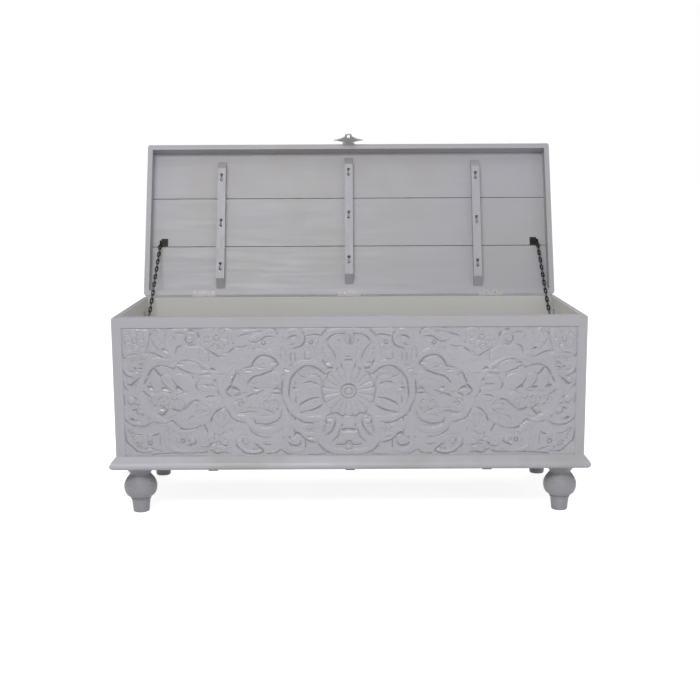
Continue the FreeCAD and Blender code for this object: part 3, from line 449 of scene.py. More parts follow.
# Leaves, petals and scroll ends: top, then the outline
LEAVES = (
    (4.1, 542, 402, 528, 397, 508, 400, 488, 406, 479, 428, 475, 446, 480, 458, 510, 460, 541, 458),
    (3.7, 484, 403, 470, 403, 457, 408, 464, 420, 472, 428),
    (4.1, 435, 400, 447, 406, 462, 420, 472, 438, 470, 458, 452, 460, 441, 440, 438, 415),
    (3.8, 414, 382, 417, 406, 398, 420, 376, 418, 352, 416, 338, 404, 338, 384, 380, 386),
    (3.8, 352, 417, 352, 458, 282, 459, 276, 420, 290, 403, 303, 393, 330, 404),
    (3.7, 314, 392, 276, 411, 243, 418, 226, 426, 236, 400, 262, 376, 300, 380),
    (4.3, 415, 371, 400, 382, 382, 383, 360, 374, 338, 359, 352, 349, 375, 352, 398, 360),
    (4.2, 470, 363, 478, 348, 478, 330, 467, 308, 453, 308, 447, 331, 454, 347),
    (4.2, 452, 347, 447, 331, 437, 318, 425, 309, 412, 309, 420, 330, 427, 346, 440, 352),
    (4.2, 426, 344, 418, 328, 406, 316, 396, 309, 378, 312, 372, 336, 392, 350, 412, 352),
    (4.2, 478, 306, 476, 288, 466, 276, 454, 275, 440, 264, 430, 270, 432, 306),
    (4.2, 431, 306, 428, 270, 416, 262, 404, 262, 388, 276, 378, 292, 398, 306),
    (4.2, 372, 262, 362, 284, 350, 288, 340, 270, 352, 262),
    (4.2, 411, 222, 400, 217, 380, 216, 362, 222, 345, 240, 345, 257, 372, 250, 404, 236),
    (4.1, 370, 326, 360, 342, 345, 348, 330, 346, 324, 335, 334, 324, 350, 325),
    (4.1, 350, 322, 330, 323, 318, 312, 334, 307, 356, 310),
    (4.1, 348, 291, 330, 296, 318, 292, 322, 282, 340, 282),
    (3.8, 305, 267, 322, 256, 333, 236, 330, 208, 304, 206, 288, 214, 290, 244),
    (3.8, 342, 206, 327, 206, 304, 206, 286, 190, 288, 172, 310, 158, 332, 163, 348, 176),
    (4.3, 232, 372, 226, 383, 216, 391, 205, 393, 190, 390, 176, 381, 172, 373, 182, 364, 202, 359, 222, 360),
    (4.1, 262, 358, 250, 364, 228, 367, 224, 358, 240, 352, 254, 350),
    (3.9, 246, 322, 238, 336, 226, 343, 205, 349, 186, 356, 166, 352, 162, 330, 180, 318, 205, 316, 228, 318),
    (3.8, 258, 346, 248, 342, 246, 328, 258, 324, 268, 334),
    (3.9, 204, 300, 190, 303, 168, 300, 164, 282, 178, 262, 205, 265, 214, 272),
    (3.8, 268, 292, 250, 292, 236, 282, 240, 268, 268, 258, 284, 270),
    (3.9, 230, 243, 222, 231, 200, 229, 182, 234, 180, 244, 200, 250, 220, 248),
    (4.1, 164, 404, 162, 415, 157, 415, 151, 396, 151, 380, 157, 375, 163, 386),
    (4.1, 139, 404, 131, 404, 130, 379, 138, 379),
    (4.2, 107, 439, 98, 443, 78, 445, 67, 443, 58, 454, 62, 460, 110, 460),
    (3.7, 106, 402, 92, 402, 91, 388, 106, 387),
    (3.8, 126, 356, 111, 343, 84, 349, 70, 342, 64, 322, 72, 324, 98, 331, 120, 326, 134, 332),
    (4.1, 121, 272, 98, 286, 73, 291, 66, 276, 91, 262, 119, 255),
    (3.6, 112, 318, 76, 322, 68, 308, 73, 293, 98, 288, 118, 278),
    (3.9, 127, 206, 110, 191, 97, 184.5, 80, 182, 76, 200, 80, 228, 108, 230, 124, 218),
    (4.4, 330, 411, 320, 418, 309, 413, 308, 404, 320, 401),
    (4, 57, 422, 46, 412, 38, 400, 35, 382, 42, 366, 52, 366, 60, 376, 66, 398),
    (4.1, 56, 228, 58, 240, 48, 249, 38, 243, 37, 228, 44, 214, 52, 205, 61, 199),
    (4.1, 34, 420, 26, 428, 20, 400, 20, 366, 32, 364),
    (4.4, 9, 380, 6, 358, 0, 354, -5, 358, -5, 380),
    (4, 16, 246, 15, 219, -6, 219, -6, 246),
    (4.1, 22, 211, 26, 196, 33, 178, 14, 176, 5, 186, -8, 176, -8, 212),
    (4.3, 12, 169, 5, 176, -4, 169, 4, 163),
)

# Straight-edged forms: top, width of the sloping edge, dome, then the outline
DIAMONDS = (
    (4.5, 9, 0, 297, 308, 282, 323, 262, 306, 282, 296),
    (4.4, 8, 0, 240, 310, 227, 320, 212, 309, 227, 303),
    (4.4, 7, 0, 185, 309, 172, 318, 164, 309, 176, 303),
    (4.5, 8, 0, 139, 309, 129, 320, 114, 308, 128, 300),
    (4.3, 2, 0.5, 12, 391.5, -6, 391.5, -6, 386.5, 12, 386.5),
)

# Flowers: x, z, petals, inner and outer radius, start and sweep in degrees, lift
FLOWERS = (
    (512, 431, 6, 6, 27, 10, 360, 2), (317, 437, 8, 6, 31, 168, 300, 2), (317, 180, 7, 5, 25, -20, 360, 1.9),
    (310, 214, 3, 4, 42, 48, 82, 1.7), (482, 182, 4, 5, 24, 60, 230, 1.7), (402, 187, 5, 4, 20, -60, 300, 1.5),
    (460, 296, 5, 6, 27, 185, 170, 1.7), (420, 296, 4, 7, 34, 200, 130, 1.8), (196, 287, 4, 5, 24, 190, 170, 1.6),
    (262, 277, 4, 4, 20, 20, 250, 1.5), (92, 426, 5, 4, 18, 190, 250, 1.5), (205, 425, 4, 4, 17, 150, 230, 1.4),
    (88, 212, 4, 4, 19, 15, 160, 1.6))

# Facets that catch the light: x, z, half width, half height, lift, lean in degrees
FACETS = (
    (375, 452, 12, 4, 0.9, -31), (405, 457, 16, 3, 0.4, 0), (439.5, 405.5, 9, 5, 1, -46), (450, 418, 7, 7, 0.5, -45),
    (475.5, 316, 9, 8, 1, -35), (441, 313, 13, 7, 0.9, -25), (408, 314, 11, 6, 0.8, -35),
    (403, 372.5, 8, 4.5, 0.8, -20), (346, 358.5, 9, 4, 1, -20), (325, 359, 16, 4, 0.8, -36),
    (304, 347.5, 10, 3, 0.7, -8), (281, 343.5, 4, 3, 0.9, 0), (330, 313, 12, 6, 0.7, 0), (332, 287, 10, 5, 0.5, 0),
    (354, 270, 14, 6, 0.7, -10), (368, 283, 5, 4, 0.7, 0), (353, 242, 16, 6, 0.7, 20), (451, 263.5, 5, 4.5, 1, -20),
    (434, 272, 7, 5, 0.5, 0), (410, 271, 9, 7, 0.5, 0), (520, 237, 7, 4, 0.8, -40), (480, 240, 8, 4, 0.7, -35),
    (504, 273.5, 7, 3, 0.8, -18), (500, 362, 7, 6, 0.8, 10), (515, 393, 16, 3, 0.6, 6), (534, 402, 5, 5, 0.6, 0),
    (518, 321, 10, 5, 0.5, 0), (530, 206, 7, 9, 0.5, -40), (502, 168, 14, 6, 0.5, -15), (274, 312, 10, 5, 1.3, -37),
    (224, 312, 6, 5, 1.1, -35), (252, 286, 5, 4, 0.6, 0), (172, 309.5, 7, 3.5, 1.1, 12), (129, 312.5, 7, 5, 1.2, -25),
    (241, 356, 17, 3.5, 0.8, 8), (211, 362.5, 12, 4.5, 1.1, 0), (183, 375.5, 8, 5, 1.1, 20), (215, 380, 5, 5, 0.5, 0),
    (246, 325, 8, 6, 0.5, 0), (236, 457, 12, 3.5, 0.6, 12), (190, 452, 14, 5, 0.6, 25), (240, 404, 14, 5, 0.6, 35),
    (217, 411, 10, 4, 0.4, 0), (340, 403, 5, 4, 0.6, 0), (297, 399, 4, 4, 0.8, 0), (319, 409, 10, 6, 0.7, 0),
    (316, 223, 8, 8, 0.4, 0), (337, 168, 8, 4, 0.6, -10), (318, 163, 14, 4, 0.6, 0), (232, 265, 26, 3, 0.5, 0),
    (292, 228, 12, 6, 0.3, 0), (198, 219, 20, 6, 0.4, 0), (255, 199, 12, 4, 0.4, 0), (228, 162, 12, 5, 0.6, 20),
    (150, 358.5, 7, 6, 0.8, -20), (132, 434, 12, 9, 0.6, 0), (118, 448, 9, 4, 0.6, -45), (99, 447, 12, 4, 0.3, 0),
    (61, 407, 6, 5, 0.6, -30), (50, 374, 6, 6, 0.8, -30), (28, 358, 6, 4, 0.6, 0), (4, 389, 10, 3, 0.8, 0),
    (2, 368, 5, 10, 1, 0), (139, 171, 10, 3, 1, 5), (124, 201, 8, 4, 1, -20), (95, 192.5, 11, 4.5, 1, -20),
    (98, 224, 12, 6, 0.6, 0), (48, 238, 7, 8, 0.8, 0), (54, 214, 7, 9, 0.6, 30), (12, 208.5, 16, 5, 0.9, 0),
    (12, 236, 8, 8, 0.4, 0), (92, 278, 14, 5, 0.6, 15), (98, 358, 16, 4, 0.4, 10), (160, 344, 5, 6, 0.6, -50),
    (44, 347, 7, 6, 0.7, 0), (56, 331, 5, 4, 0.6, 0), (5, 172, 6, 5, 0.7, 0), (22, 190, 8, 8, 0.4, 0))

# Side veins: how many, length, depth, lean in degrees, then the line that they spring from
VEINS = (
    (6, 13, 0.9, 62, 410, 400, 385, 401, 350, 398),
    (5, 10, 0.8, -55, 408, 397, 380, 396, 345, 391),
    (8, 9, 1.2, 60, 536, 222, 530, 200, 514, 176, 494, 163),
    (6, 14, 1, -68, 470, 300, 445, 299, 400, 297),
    (4, 8, 0.9, 50, 474, 338, 466, 324, 459, 311),
    (5, 9, 0.9, 52, 446, 340, 434, 326, 421, 311),
    (5, 9, 0.9, 52, 420, 338, 406, 324, 388, 313),
    (6, 7, 0.8, -48, 405, 376, 375, 374, 345, 362),
    (6, 8, 1, 50, 404, 227, 380, 226, 350, 243),
    (4, 7, 0.9, 60, 372, 270, 358, 276, 345, 266),
    (4, 7, 0.9, 55, 366, 330, 350, 336, 330, 335),
    (3, 6, 0.8, 48, 256, 360, 244, 358, 228, 359),
    (7, 11, 1.1, -58, 240, 326, 214, 334, 178, 342),
    (5, 7, 0.9, 50, 236, 331, 214, 341, 188, 349),
    (5, 9, 1, 58, 206, 298, 192, 286, 172, 270),
    (5, 6, 0.9, -55, 226, 236, 205, 236, 184, 238),
    (4, 7, 0.9, 60, 272, 263, 256, 263, 240, 268),
    (4, 9, 0.9, 55, 262, 402, 248, 408, 232, 418),
    (5, 8, 0.8, -50, 300, 386, 276, 388, 252, 384),
    (5, 6, 0.8, -60, 262, 444, 240, 452, 214, 455),
    (5, 6, 0.9, -55, 232, 440, 208, 448, 184, 452),
    (6, 6, 0.9, 62, 266, 176, 250, 164, 224, 160),
    (6, 9, 0.9, -55, 120, 340, 98, 340, 76, 334),
    (4, 6, 0.8, 50, 114, 346, 96, 348, 76, 346),
    (6, 9, 0.9, 55, 114, 262, 94, 270, 72, 282),
    (5, 10, 0.8, -50, 112, 302, 96, 303, 76, 305),
    (4, 8, 0.8, 50, 112, 306, 96, 308, 76, 310),
    (5, 9, 1, 50, 60, 412, 50, 398, 46, 380),
    (5, 7, 0.9, 40, 30, 416, 27, 398, 26, 372),
    (3, 6, 0.9, 55, 54, 230, 50, 218, 46, 210),
    (4, 8, 0.9, 55, 30, 206, 24, 196, 14, 184),
    (3, 6, 0.9, 50, 140, 226, 138, 210, 130, 204),
    (5, 8, 0.9, -55, 118, 224, 100, 216, 84, 214),
    (3, 6, 0.8, 40, 146, 402, 146, 392, 146, 380),
    (4, 6, 0.6, -60, 478, 398, 440, 394, 420, 388),
    (5, 6, 0.9, -60, 536, 386, 520, 392, 498, 392),
    (5, 6, 0.9, 60, 534, 252, 528, 240, 506, 233),
    (5, 7, 0.9, 50, 530, 322, 516, 330, 500, 346),
)

# Valleys in the outer ovals and corners: depth, width, then points
OUTER_CUTS = (
    (1.8, 1.4, 541.5, 462, 541.5, 428, 541, 394, 528.5, 391),
    (1.9, 1.3, 541, 368, 538.5, 353, 528.5, 344.6, 513.7, 340.4),
    (2.6, 1.5, 494, 353, 505.5, 339.6, 515.3, 331.4, 523.6, 324, 533, 328),
    (1.8, 1.2, 541, 335, 541, 324, 530, 310),
    (1.5, 1.1, 541, 304, 540, 282, 539, 276),
    (2, 1.3, 541, 264, 541, 244, 536, 235, 525, 227.4, 517, 224, 494, 224, 484, 228.2, 470.8, 234, 457.6, 230.7,
     444.4, 229.9, 434.5, 233.2, 424.6, 236.5, 419.6, 230.7, 411.4, 222.4, 406, 217),
    (2.9, 1.6, 411, 222, 404, 216.5, 391.6, 215, 375, 216.7, 362, 222.4, 352.7, 229),
    (2.2, 1.5, 541, 226, 541.5, 205, 538, 186, 528.5, 176, 518.6, 166.4, 509, 159, 482, 157.5),
    (1.4, 1.2, 525, 209.2, 513.7, 202.6, 499, 202.6),
    (2.1, 1.3, 479, 199, 468, 202, 459, 206),
    (1, 1, 477.4, 197, 477.4, 173),
    (1, 1, 457.6, 203, 457.6, 173),
    (0.8, 1, 498.8, 200, 498.8, 186),
    (1, 1.2, 518.6, 181, 499, 180.4),
    (1.5, 1.2, 490, 169, 476, 168, 464, 164, 452, 160),
    (2, 1.2, 528.5, 396, 519, 399.5, 508.7, 399, 490, 397.4),
    (0.7, 0.9, 527, 386, 512, 384.5, 496, 387, 484, 384),
    (2.3, 1.2, 489, 403, 480, 403.5, 470.8, 402.3, 457.6, 397.4, 447, 391.2, 434.5, 390, 425, 392.5),
    (0.9, 1.2, 485.6, 404, 479, 427, 475.7, 445, 476, 458),
    (0.8, 1.6, 521, 440, 523, 428, 520, 416, 508, 420, 500, 418.5),
    (0.7, 1.3, 512, 454, 508, 445, 500, 446),
    (0.5, 0.8, 476, 380, 464, 381, 453, 380.5, 438, 382),
    (1.9, 1.3, 470.8, 364.4, 461, 369.3, 447.7, 371, 434.5, 368.5, 421, 364.4, 414, 372),
    (2.6, 1.7, 441, 352, 452.6, 347.9, 461, 357.8, 469, 364.4, 479, 352.8, 484, 342),
    (1.8, 1.4, 484, 342, 487.3, 336.3, 492, 326.4),
    (1.3, 1.1, 473, 343, 476, 336, 475.7, 324.8, 465.8, 311),
    (1.4, 1.1, 452.6, 345, 447.7, 331.4, 437.8, 319.8, 423, 307),
    (1.4, 1.1, 426, 343, 418, 328, 406.4, 316.5, 396.5, 308),
    (1.5, 1.2, 482, 303, 470.8, 304.5, 457.6, 307, 443, 306.6, 431, 305.8, 418, 305),
    (1.4, 1.2, 416, 298, 405, 303, 396.5, 308),
    (1.8, 1.3, 502, 310, 492, 308, 487.3, 301.6, 479, 296.7, 475.7, 285, 470.8, 276, 459, 272),
    (2, 1.3, 454, 275, 446, 269, 438, 264, 444, 257, 450, 251),
    (2.6, 1.8, 438, 262, 446, 254, 451, 250.5, 462, 255.5),
    (2.2, 1.5, 428, 270, 422, 264, 418, 262, 406.4, 259.6),
    (1.6, 1.2, 404, 261, 395, 268, 385, 276.9, 375, 285, 365, 286.8, 359, 280),
    (0.5, 1, 450, 243, 436, 244, 424, 248, 417, 252),
    (2.4, 1.4, 401.5, 382.5, 388.3, 384, 378.4, 382.5, 362, 375.5, 353.5, 366.4, 345, 365.2, 338, 360),
    (2, 1.3, 415, 373, 406.4, 364.4, 393, 357.8, 376.7, 351),
    (1, 1, 376, 349, 375, 338),
    (0.9, 1.2, 362, 348.7, 345, 349.5, 330, 352),
    (1.9, 1.3, 357, 342, 361, 337, 366.8, 329.7, 368, 320, 360, 307.4),
    (2, 1.3, 347, 325, 337, 322, 325, 324),
    (1.8, 1.2, 346, 292, 337, 296.7, 322, 295.5),
    (1.8, 1.3, 359, 280, 355, 285, 347, 277, 341.5, 269.5),
    (1, 1.2, 372, 249.5, 357, 253.8, 343.6, 260.4),
    (1.6, 1.3, 395, 236, 386, 243, 372, 249.5),
    (2.2, 1.5, 317.5, 310, 311.4, 300.8, 302, 288),
    (2.2, 1.4, 302, 268.5, 317, 262, 327, 252, 333, 239, 334.5, 232),
    (2, 1.4, 353.5, 230, 345, 215.8, 342, 207),
    (1.3, 1.2, 324, 199, 312, 202, 303, 207.6, 301, 212),
    (0.9, 1.2, 285, 217, 283, 208),
    (1.9, 1.1, 326.8, 207, 327, 189),
    (1.7, 1.2, 362, 175, 353.5, 170.5, 342, 172.9, 335, 179.5, 327, 182.8, 320.5, 182.8, 310.6, 176, 299, 174.6,
     287, 171),
    (1.9, 1.3, 344, 164, 332, 161, 322, 154.5, 306.5, 157, 288, 156),
    (1.5, 1.2, 505.5, 372, 499, 376, 490.6, 377.6),
    (1.5, 1.2, 520, 297, 511, 290, 502, 281.9),
    (2.5, 1.8, 522, 262, 517, 264, 511, 266),
    (1.6, 1.3, 386.6, 422, 378.4, 419.6, 368, 424),
    (1.3, 1.3, 412, 448.2, 401, 448.8, 386.6, 443.6),
    (1.7, 1.4, 398, 420.5, 406, 417.6, 411.4, 413, 415, 404, 415, 393),
    (2, 1.5, 363, 452, 359, 443, 360, 436),
    (2.3, 1.7, 393, 174.6, 386, 176, 381, 178),
    (1.5, 1.4, 420, 184, 413, 181, 406, 179.5),
    (1.2, 1.3, 434.5, 220.8, 439.4, 206, 437.8, 189.4, 434.5, 172.9, 424.6, 160),
    (1.6, 1.3, 478, 443, 473, 447, 468, 452),
    (1.4, 1.4, 452.6, 445, 452.6, 438, 450, 430),
    (1.2, 1.3, 438, 452, 440.5, 440, 441, 424, 436, 411, 431, 401),
    (1.1, 1.3, 470.8, 434, 468, 424, 462, 415, 454, 409.5),
)

# Valleys in the inner ovals, along the top and bottom, and in the quatrefoil
INNER_CUTS = (
    (1.9, 1.3, 351.8, 417, 343.6, 412, 337, 409.7, 330, 404, 320.5, 397.4, 310.6, 392.4, 300.7, 392.6, 290, 393),
    (2.2, 1.4, 292, 398, 287, 404, 280, 409, 275, 412.5),
    (1.6, 1.4, 334, 418, 327, 419.5, 318, 420, 308, 416, 303, 408),
    (1, 1.1, 336, 450, 336, 421),
    (1.2, 0.9, 336, 404, 336, 381),
    (1.6, 1.2, 279, 450, 280, 436, 277.6, 424.6),
    (0.8, 0.8, 269, 446, 268.5, 426),
    (1.5, 1.2, 266, 440, 258, 443, 247.9, 445.2, 233, 448.5),
    (1.6, 1.3, 269.3, 416.3, 257.8, 414.7, 243, 418.8),
    (1.9, 1.3, 239.6, 430.4, 229.7, 427, 219.8, 427.9, 211.6, 432, 200, 439.4, 186.8, 440.3, 178, 440),
    (0.8, 1.4, 205, 430, 197, 423, 188, 424),
    (1.4, 1.2, 224, 456, 215, 453, 206, 452),
    (1.5, 1.2, 180, 458.4, 173, 452.5, 171, 444),
    (2.2, 1.4, 261, 360, 251, 364.4, 238, 366.8, 233, 370, 229.7, 379, 223, 387.5, 214.9, 393.2, 205, 394.9,
     195, 393.2, 183.5, 388.5, 176.8, 382.5, 171, 374, 176.8, 367.6, 185, 359.4),
    (2.6, 1.6, 246.2, 323, 238, 336.3, 228, 343.7, 214.9, 347, 201.7, 352, 190, 356, 180, 362),
    (1.8, 1.5, 224.8, 373, 218, 369.3, 212, 369),
    (1.9, 1.4, 268.5, 362, 271, 354, 276, 344, 281, 333, 283.4, 325),
    (3.2, 1.9, 282, 324, 290, 316, 298, 307.4),
    (1.7, 1.4, 298, 307, 289, 299, 282.5, 294),
    (1.5, 1.2, 280, 321, 270, 315, 262, 307),
    (1.9, 1.3, 278, 297.5, 270, 299.5, 261, 304),
    (0.9, 1.1, 257, 305, 245, 305),
    (1, 1.2, 268, 358, 265, 349, 255.3, 342.9, 256, 330),
    (2.1, 1.4, 250, 292.5, 238, 299, 228, 301.6, 218.2, 300),
    (1.5, 1.2, 222, 303.5, 211.6, 308.3, 205, 309),
    (1.2, 1.2, 225.6, 334, 225.6, 324),
    (1.5, 1.3, 190, 306, 191, 299, 197, 288, 205, 281.9, 214, 269.5),
    (1.4, 1.2, 279.2, 276.9, 271, 285, 262, 288.5, 254.5, 280, 249, 272),
    (1.6, 1.3, 269, 253.8, 254.5, 255.5, 241.3, 258, 221.5, 256.3),
    (1.1, 1.2, 205, 263.7, 192, 259, 180, 254),
    (1.6, 1.3, 298, 270, 292, 259, 287.5, 250.5, 280.9, 241.4, 271, 235.6, 257.8, 231.5, 246.2, 231),
    (1.6, 1.3, 243, 222, 238, 210.5, 229.7, 204.3, 221.5, 199.3, 208.3, 195, 198, 195, 188, 196),
    (1.8, 1.4, 232.5, 243, 229, 234, 224.8, 229, 211.6, 227.4, 196.7, 227.4, 182, 232.3, 175, 236, 169, 243),
    (1.4, 1.3, 220, 245, 205, 248.9, 188.5, 246.4),
    (2.3, 1.4, 275.9, 190, 274.3, 176, 264.4, 166.4, 254.5, 157, 238, 152.8, 221.5, 154.5, 209, 161, 218, 170,
     228, 177.9, 233, 181),
    (1.5, 1.4, 260, 192, 256.5, 181, 247.9, 176),
    (1.7, 1.4, 209, 178, 200, 176.5, 190, 177),
    (2, 1.4, 203, 154, 187, 153.5),
    (1.9, 1.3, 121, 457.5, 109, 447, 106.5, 434, 110.8, 422, 119, 415.5, 130.6, 412, 137.5, 406),
    (1.5, 1.3, 148, 434, 144, 438.5, 138, 440.5, 127, 442.5),
    (1.3, 1.3, 146, 419, 140, 420, 134, 422),
    (1.5, 1.4, 148, 375, 143, 371, 137, 372),
    (1.1, 1, 157, 414, 152, 400, 150, 388, 151, 377),
    (1.1, 1, 164.4, 404, 162, 413, 158, 416),
    (1, 1, 165, 400, 163, 386, 157, 374),
    (1.1, 1, 140.5, 402, 140.5, 380),
    (1.1, 1, 129.8, 402, 129.8, 380),
    (1.7, 1.3, 106, 438, 97.6, 442.7, 77.8, 444.4, 68, 442.7, 60, 451.8, 53, 458),
    (1, 1, 107, 406, 107, 386.5, 91, 385.8),
    (1.8, 1.3, -2, 446, 16, 446.5, 31.6, 446, 44.8, 440.3, 51.4, 434.5, 57, 425),
    (1.3, 1.1, 57, 424, 46.4, 413.9, 38.2, 400.7, 33.2, 384),
    (1.7, 1.4, 64.6, 386, 58, 371, 51.4, 365),
    (3, 1.9, 53, 364.5, 47, 363, 41, 365),
    (1, 1.6, 63, 402, 60, 396, 56, 388),
    (1.2, 1.1, 47, 398, 42, 388, 40, 378),
    (1.8, 1.1, 20.5, 381, 18.4, 362, 18.4, 344),
    (1.4, 1.3, 32, 362.7, 21, 362.7),
    (2, 1.4, 12, 382, 8, 383.5, -3, 383.5, -6, 382),
    (3, 2.4, 4.5, 352, -2, 351),
    (2.2, 1.3, 161, 336, 162.8, 313, 163.5, 298),
    (1.6, 1.3, 163, 296, 157, 281.9, 150.4, 267, 147, 255.5, 135.5, 245.5, 120.7, 237.3, 109, 230.7, 91, 229.9,
     80, 230.7),
    (2.1, 1.4, 140.5, 283, 144.5, 292, 145.4, 301.6, 143.8, 321.4, 140.5, 338, 132, 349.5, 119, 361, 110.8, 367,
     99, 369.3, 87.7, 367.6, 77.8, 362.7, 67.9, 356, 58, 349.5, 48, 351, 38, 355),
    (0.5, 1, 122, 373, 112, 378, 101, 380, 84, 378),
    (1.6, 1.3, 126, 356, 119, 347, 110.8, 342.9, 103, 342),
    (1.1, 1.1, 130.6, 336, 130.6, 324),
    (2.1, 1.4, 108.5, 327, 97.6, 330.7, 87.7, 329.7, 76, 324.8),
    (2.5, 1.5, 121.5, 272.5, 112.4, 280.2, 97.6, 286.8, 84.4, 290.9, 71.5, 291.8),
    (2.3, 1.4, 121.5, 253, 110.8, 257, 91, 261.2, 77.8, 267, 66, 274.5),
    (1.7, 1.3, 86, 349, 80, 347, 71.2, 341.3, 67, 329.7, 64, 320, 53, 316.5),
    (1.3, 1.2, 66, 325, 68, 313, 66, 301.6, 62, 284, 56, 280),
    (1.3, 1.3, 128, 297, 130, 285, 127, 279),
    (1.9, 1.3, 47, 265, 43, 253, 30, 253.5, 18.4, 246.4, 11.8, 248.9, 3, 245.5),
    (2, 1.3, 58, 241, 56.3, 230, 51, 226.5, 44, 229.5),
    (1.5, 1.2, 56, 246, 48, 250.5, 40, 250),
    (1, 1.2, 63, 226, 63, 206),
    (1.9, 1.3, 34.9, 243, 35.5, 230, 38, 221, 43, 212.5, 49.7, 204.3, 60, 197.5),
    (1.5, 1.2, 23.3, 222, 26, 208, 30, 198, 37, 189.4, 48, 181),
    (2.3, 1.5, 21, 216, 15, 214, 6, 214.5, -3, 215),
    (1.8, 1.4, 20, 228, 19, 221),
    (1.9, 1.3, 35, 178, 25, 176, 13.4, 176.5, 5.2, 186, -2, 177),
    (1.2, 1.1, 12, 172, 9, 166, 3.5, 163),
    (1.5, 1.3, 78, 182, 72, 172, 64, 164, 54.7, 158, 41.5, 152),
    (1.4, 1.2, 135.5, 217, 132, 205, 131, 199),
    (2.3, 1.6, 138, 194, 132, 203, 126.5, 206.7, 117.4, 199.3, 109, 191, 97.6, 184.7, 87.7, 182, 79, 182),
    (1.9, 1.4, 109, 209, 97.6, 207.6, 86, 210),
    (2.2, 1.5, 151, 186, 146, 179.5, 140.5, 176, 129, 173.5, 120.7, 177.9, 118.5, 187),
    (2, 1.3, 107.5, 190, 107, 168),
    (1.9, 1.4, 190, 153.5, 178, 156, 168.5, 163, 160, 159.7, 150, 153, 138, 151.5),
    (1.3, 1.2, 110, 151.5, 68, 151.5, 54, 157),
    (2, 1.3, 132, 244, 132, 236),
    (1.8, 1.4, 187, 304, 176, 302.5, 165, 303),
    (2, 1.4, 184, 311, 177, 315, 170, 318.5),
    (1.2, 1.2, 176, 234, 171, 241, 166, 248, 163, 262),
)

# Round valleys: x, z, both radii, depth, width, and the turn in degrees
RINGS = (
    (522, 362.7, 5.5, 5.5, 1.2, 1, 0, 360), (499, 364, 9.5, 8.5, 1.3, 1, -170, 100),
    (527, 334, 7, 7, 0.7, 1.2, 20, 300), (523.5, 285.5, 9.5, 8.5, 1.3, 1.1, 150, 360),
    (501.5, 261, 10.5, 10.5, 1.2, 1.1, 150, 350), (382, 433.7, 8.5, 8.5, 1.7, 1.6, 110, 370),
    (382, 433.7, 3.5, 3.5, 0.5, 0.8, 0, 360), (381, 187, 9.5, 9.5, 1.3, 1.5, 130, 400),
    (461, 451, 4, 6.5, 1.9, 1.4, 0, 360), (459, 450, 10, 11, 0.9, 1.1, 100, 260),
    (44.5, 345.5, 9.5, 9.5, 1.2, 1.2, 60, 330), (56, 330.5, 6.5, 6.5, 0.9, 1.1, 90, 300),
    (251, 184.5, 7, 7, 0.8, 1.1, -60, 200), (50, 374, 6.5, 8.5, 0.8, 1, 20, 200))

# Small round hollows: x, z, radius, depth
DOTS = (
    (513, 365.5, 2.6, 2.6), (506.3, 309.9, 2, 1.8), (520, 379, 2, 1.2), (418, 439, 4, 1.1), (206.6, 374.5, 2.2, 2.4),
    (330, 455, 3, 1.3), (360, 438.6, 2.6, 1.8), (322, 334.7, 3, 2.4), (297, 407, 1.8, 1), (26.6, 429.5, 2.4, 1.8),
    (119, 337, 2.4, 1.6), (160, 193.5, 3, 1.7), (145.4, 193.5, 3, 2.1), (179.3, 331.4, 2.6, 1.4),
    (179, 286.8, 2.6, 1.4), (174.3, 265.3, 2.6, 1.9), (398, 350.3, 2.2, 1.3), (206.6, 237, 2, 1.2),
    (276.8, 424.6, 2.4, 2.2), (54, 341, 2.4, 1.8), (112, 275, 2.5, 1.2), (502, 453, 4, 0.6))
# Round buds: x, z, radius
BUDS = (
    (134, 432, 9), (44, 346, 9), (56, 331, 6), (461, 450, 9), (382, 433, 9), (380, 187, 8), (502, 261, 8),
    (528, 333, 8), (522, 363, 7), (524, 286, 9), (251, 184, 8), (136, 188, 7), (148, 359, 7), (451, 263, 7))

# Eyes of the flowers: x, z, radius
EYES = (
    (512, 431, 5.5), (317, 437, 5.5), (317, 180, 4.5), (482, 182, 4.5), (402, 187, 4), (262, 277, 4), (92, 426, 4),
    (205, 425, 4))

# Valleys along the top and bottom edge: depth, width, then points
BORDER_CUTS = (
    (2.3, 1.2, 546, 462.3, 366, 462, 180, 462.6, 0, 462.2),
    (1.8, 1.2, 480, 152.5, 430, 156, 360, 156.5, 345, 160),
    (1.2, 1, 546, 149.5, 0, 149.5))


def bell(distance, width):
    return np.exp(-(distance / width) ** 2)


def points(row):
    """A table's row of x, z, x, z as points, with x turned from leftwards to rightwards."""
    return [(-x, z) for x, z in zip(row[::2], row[1::2])]


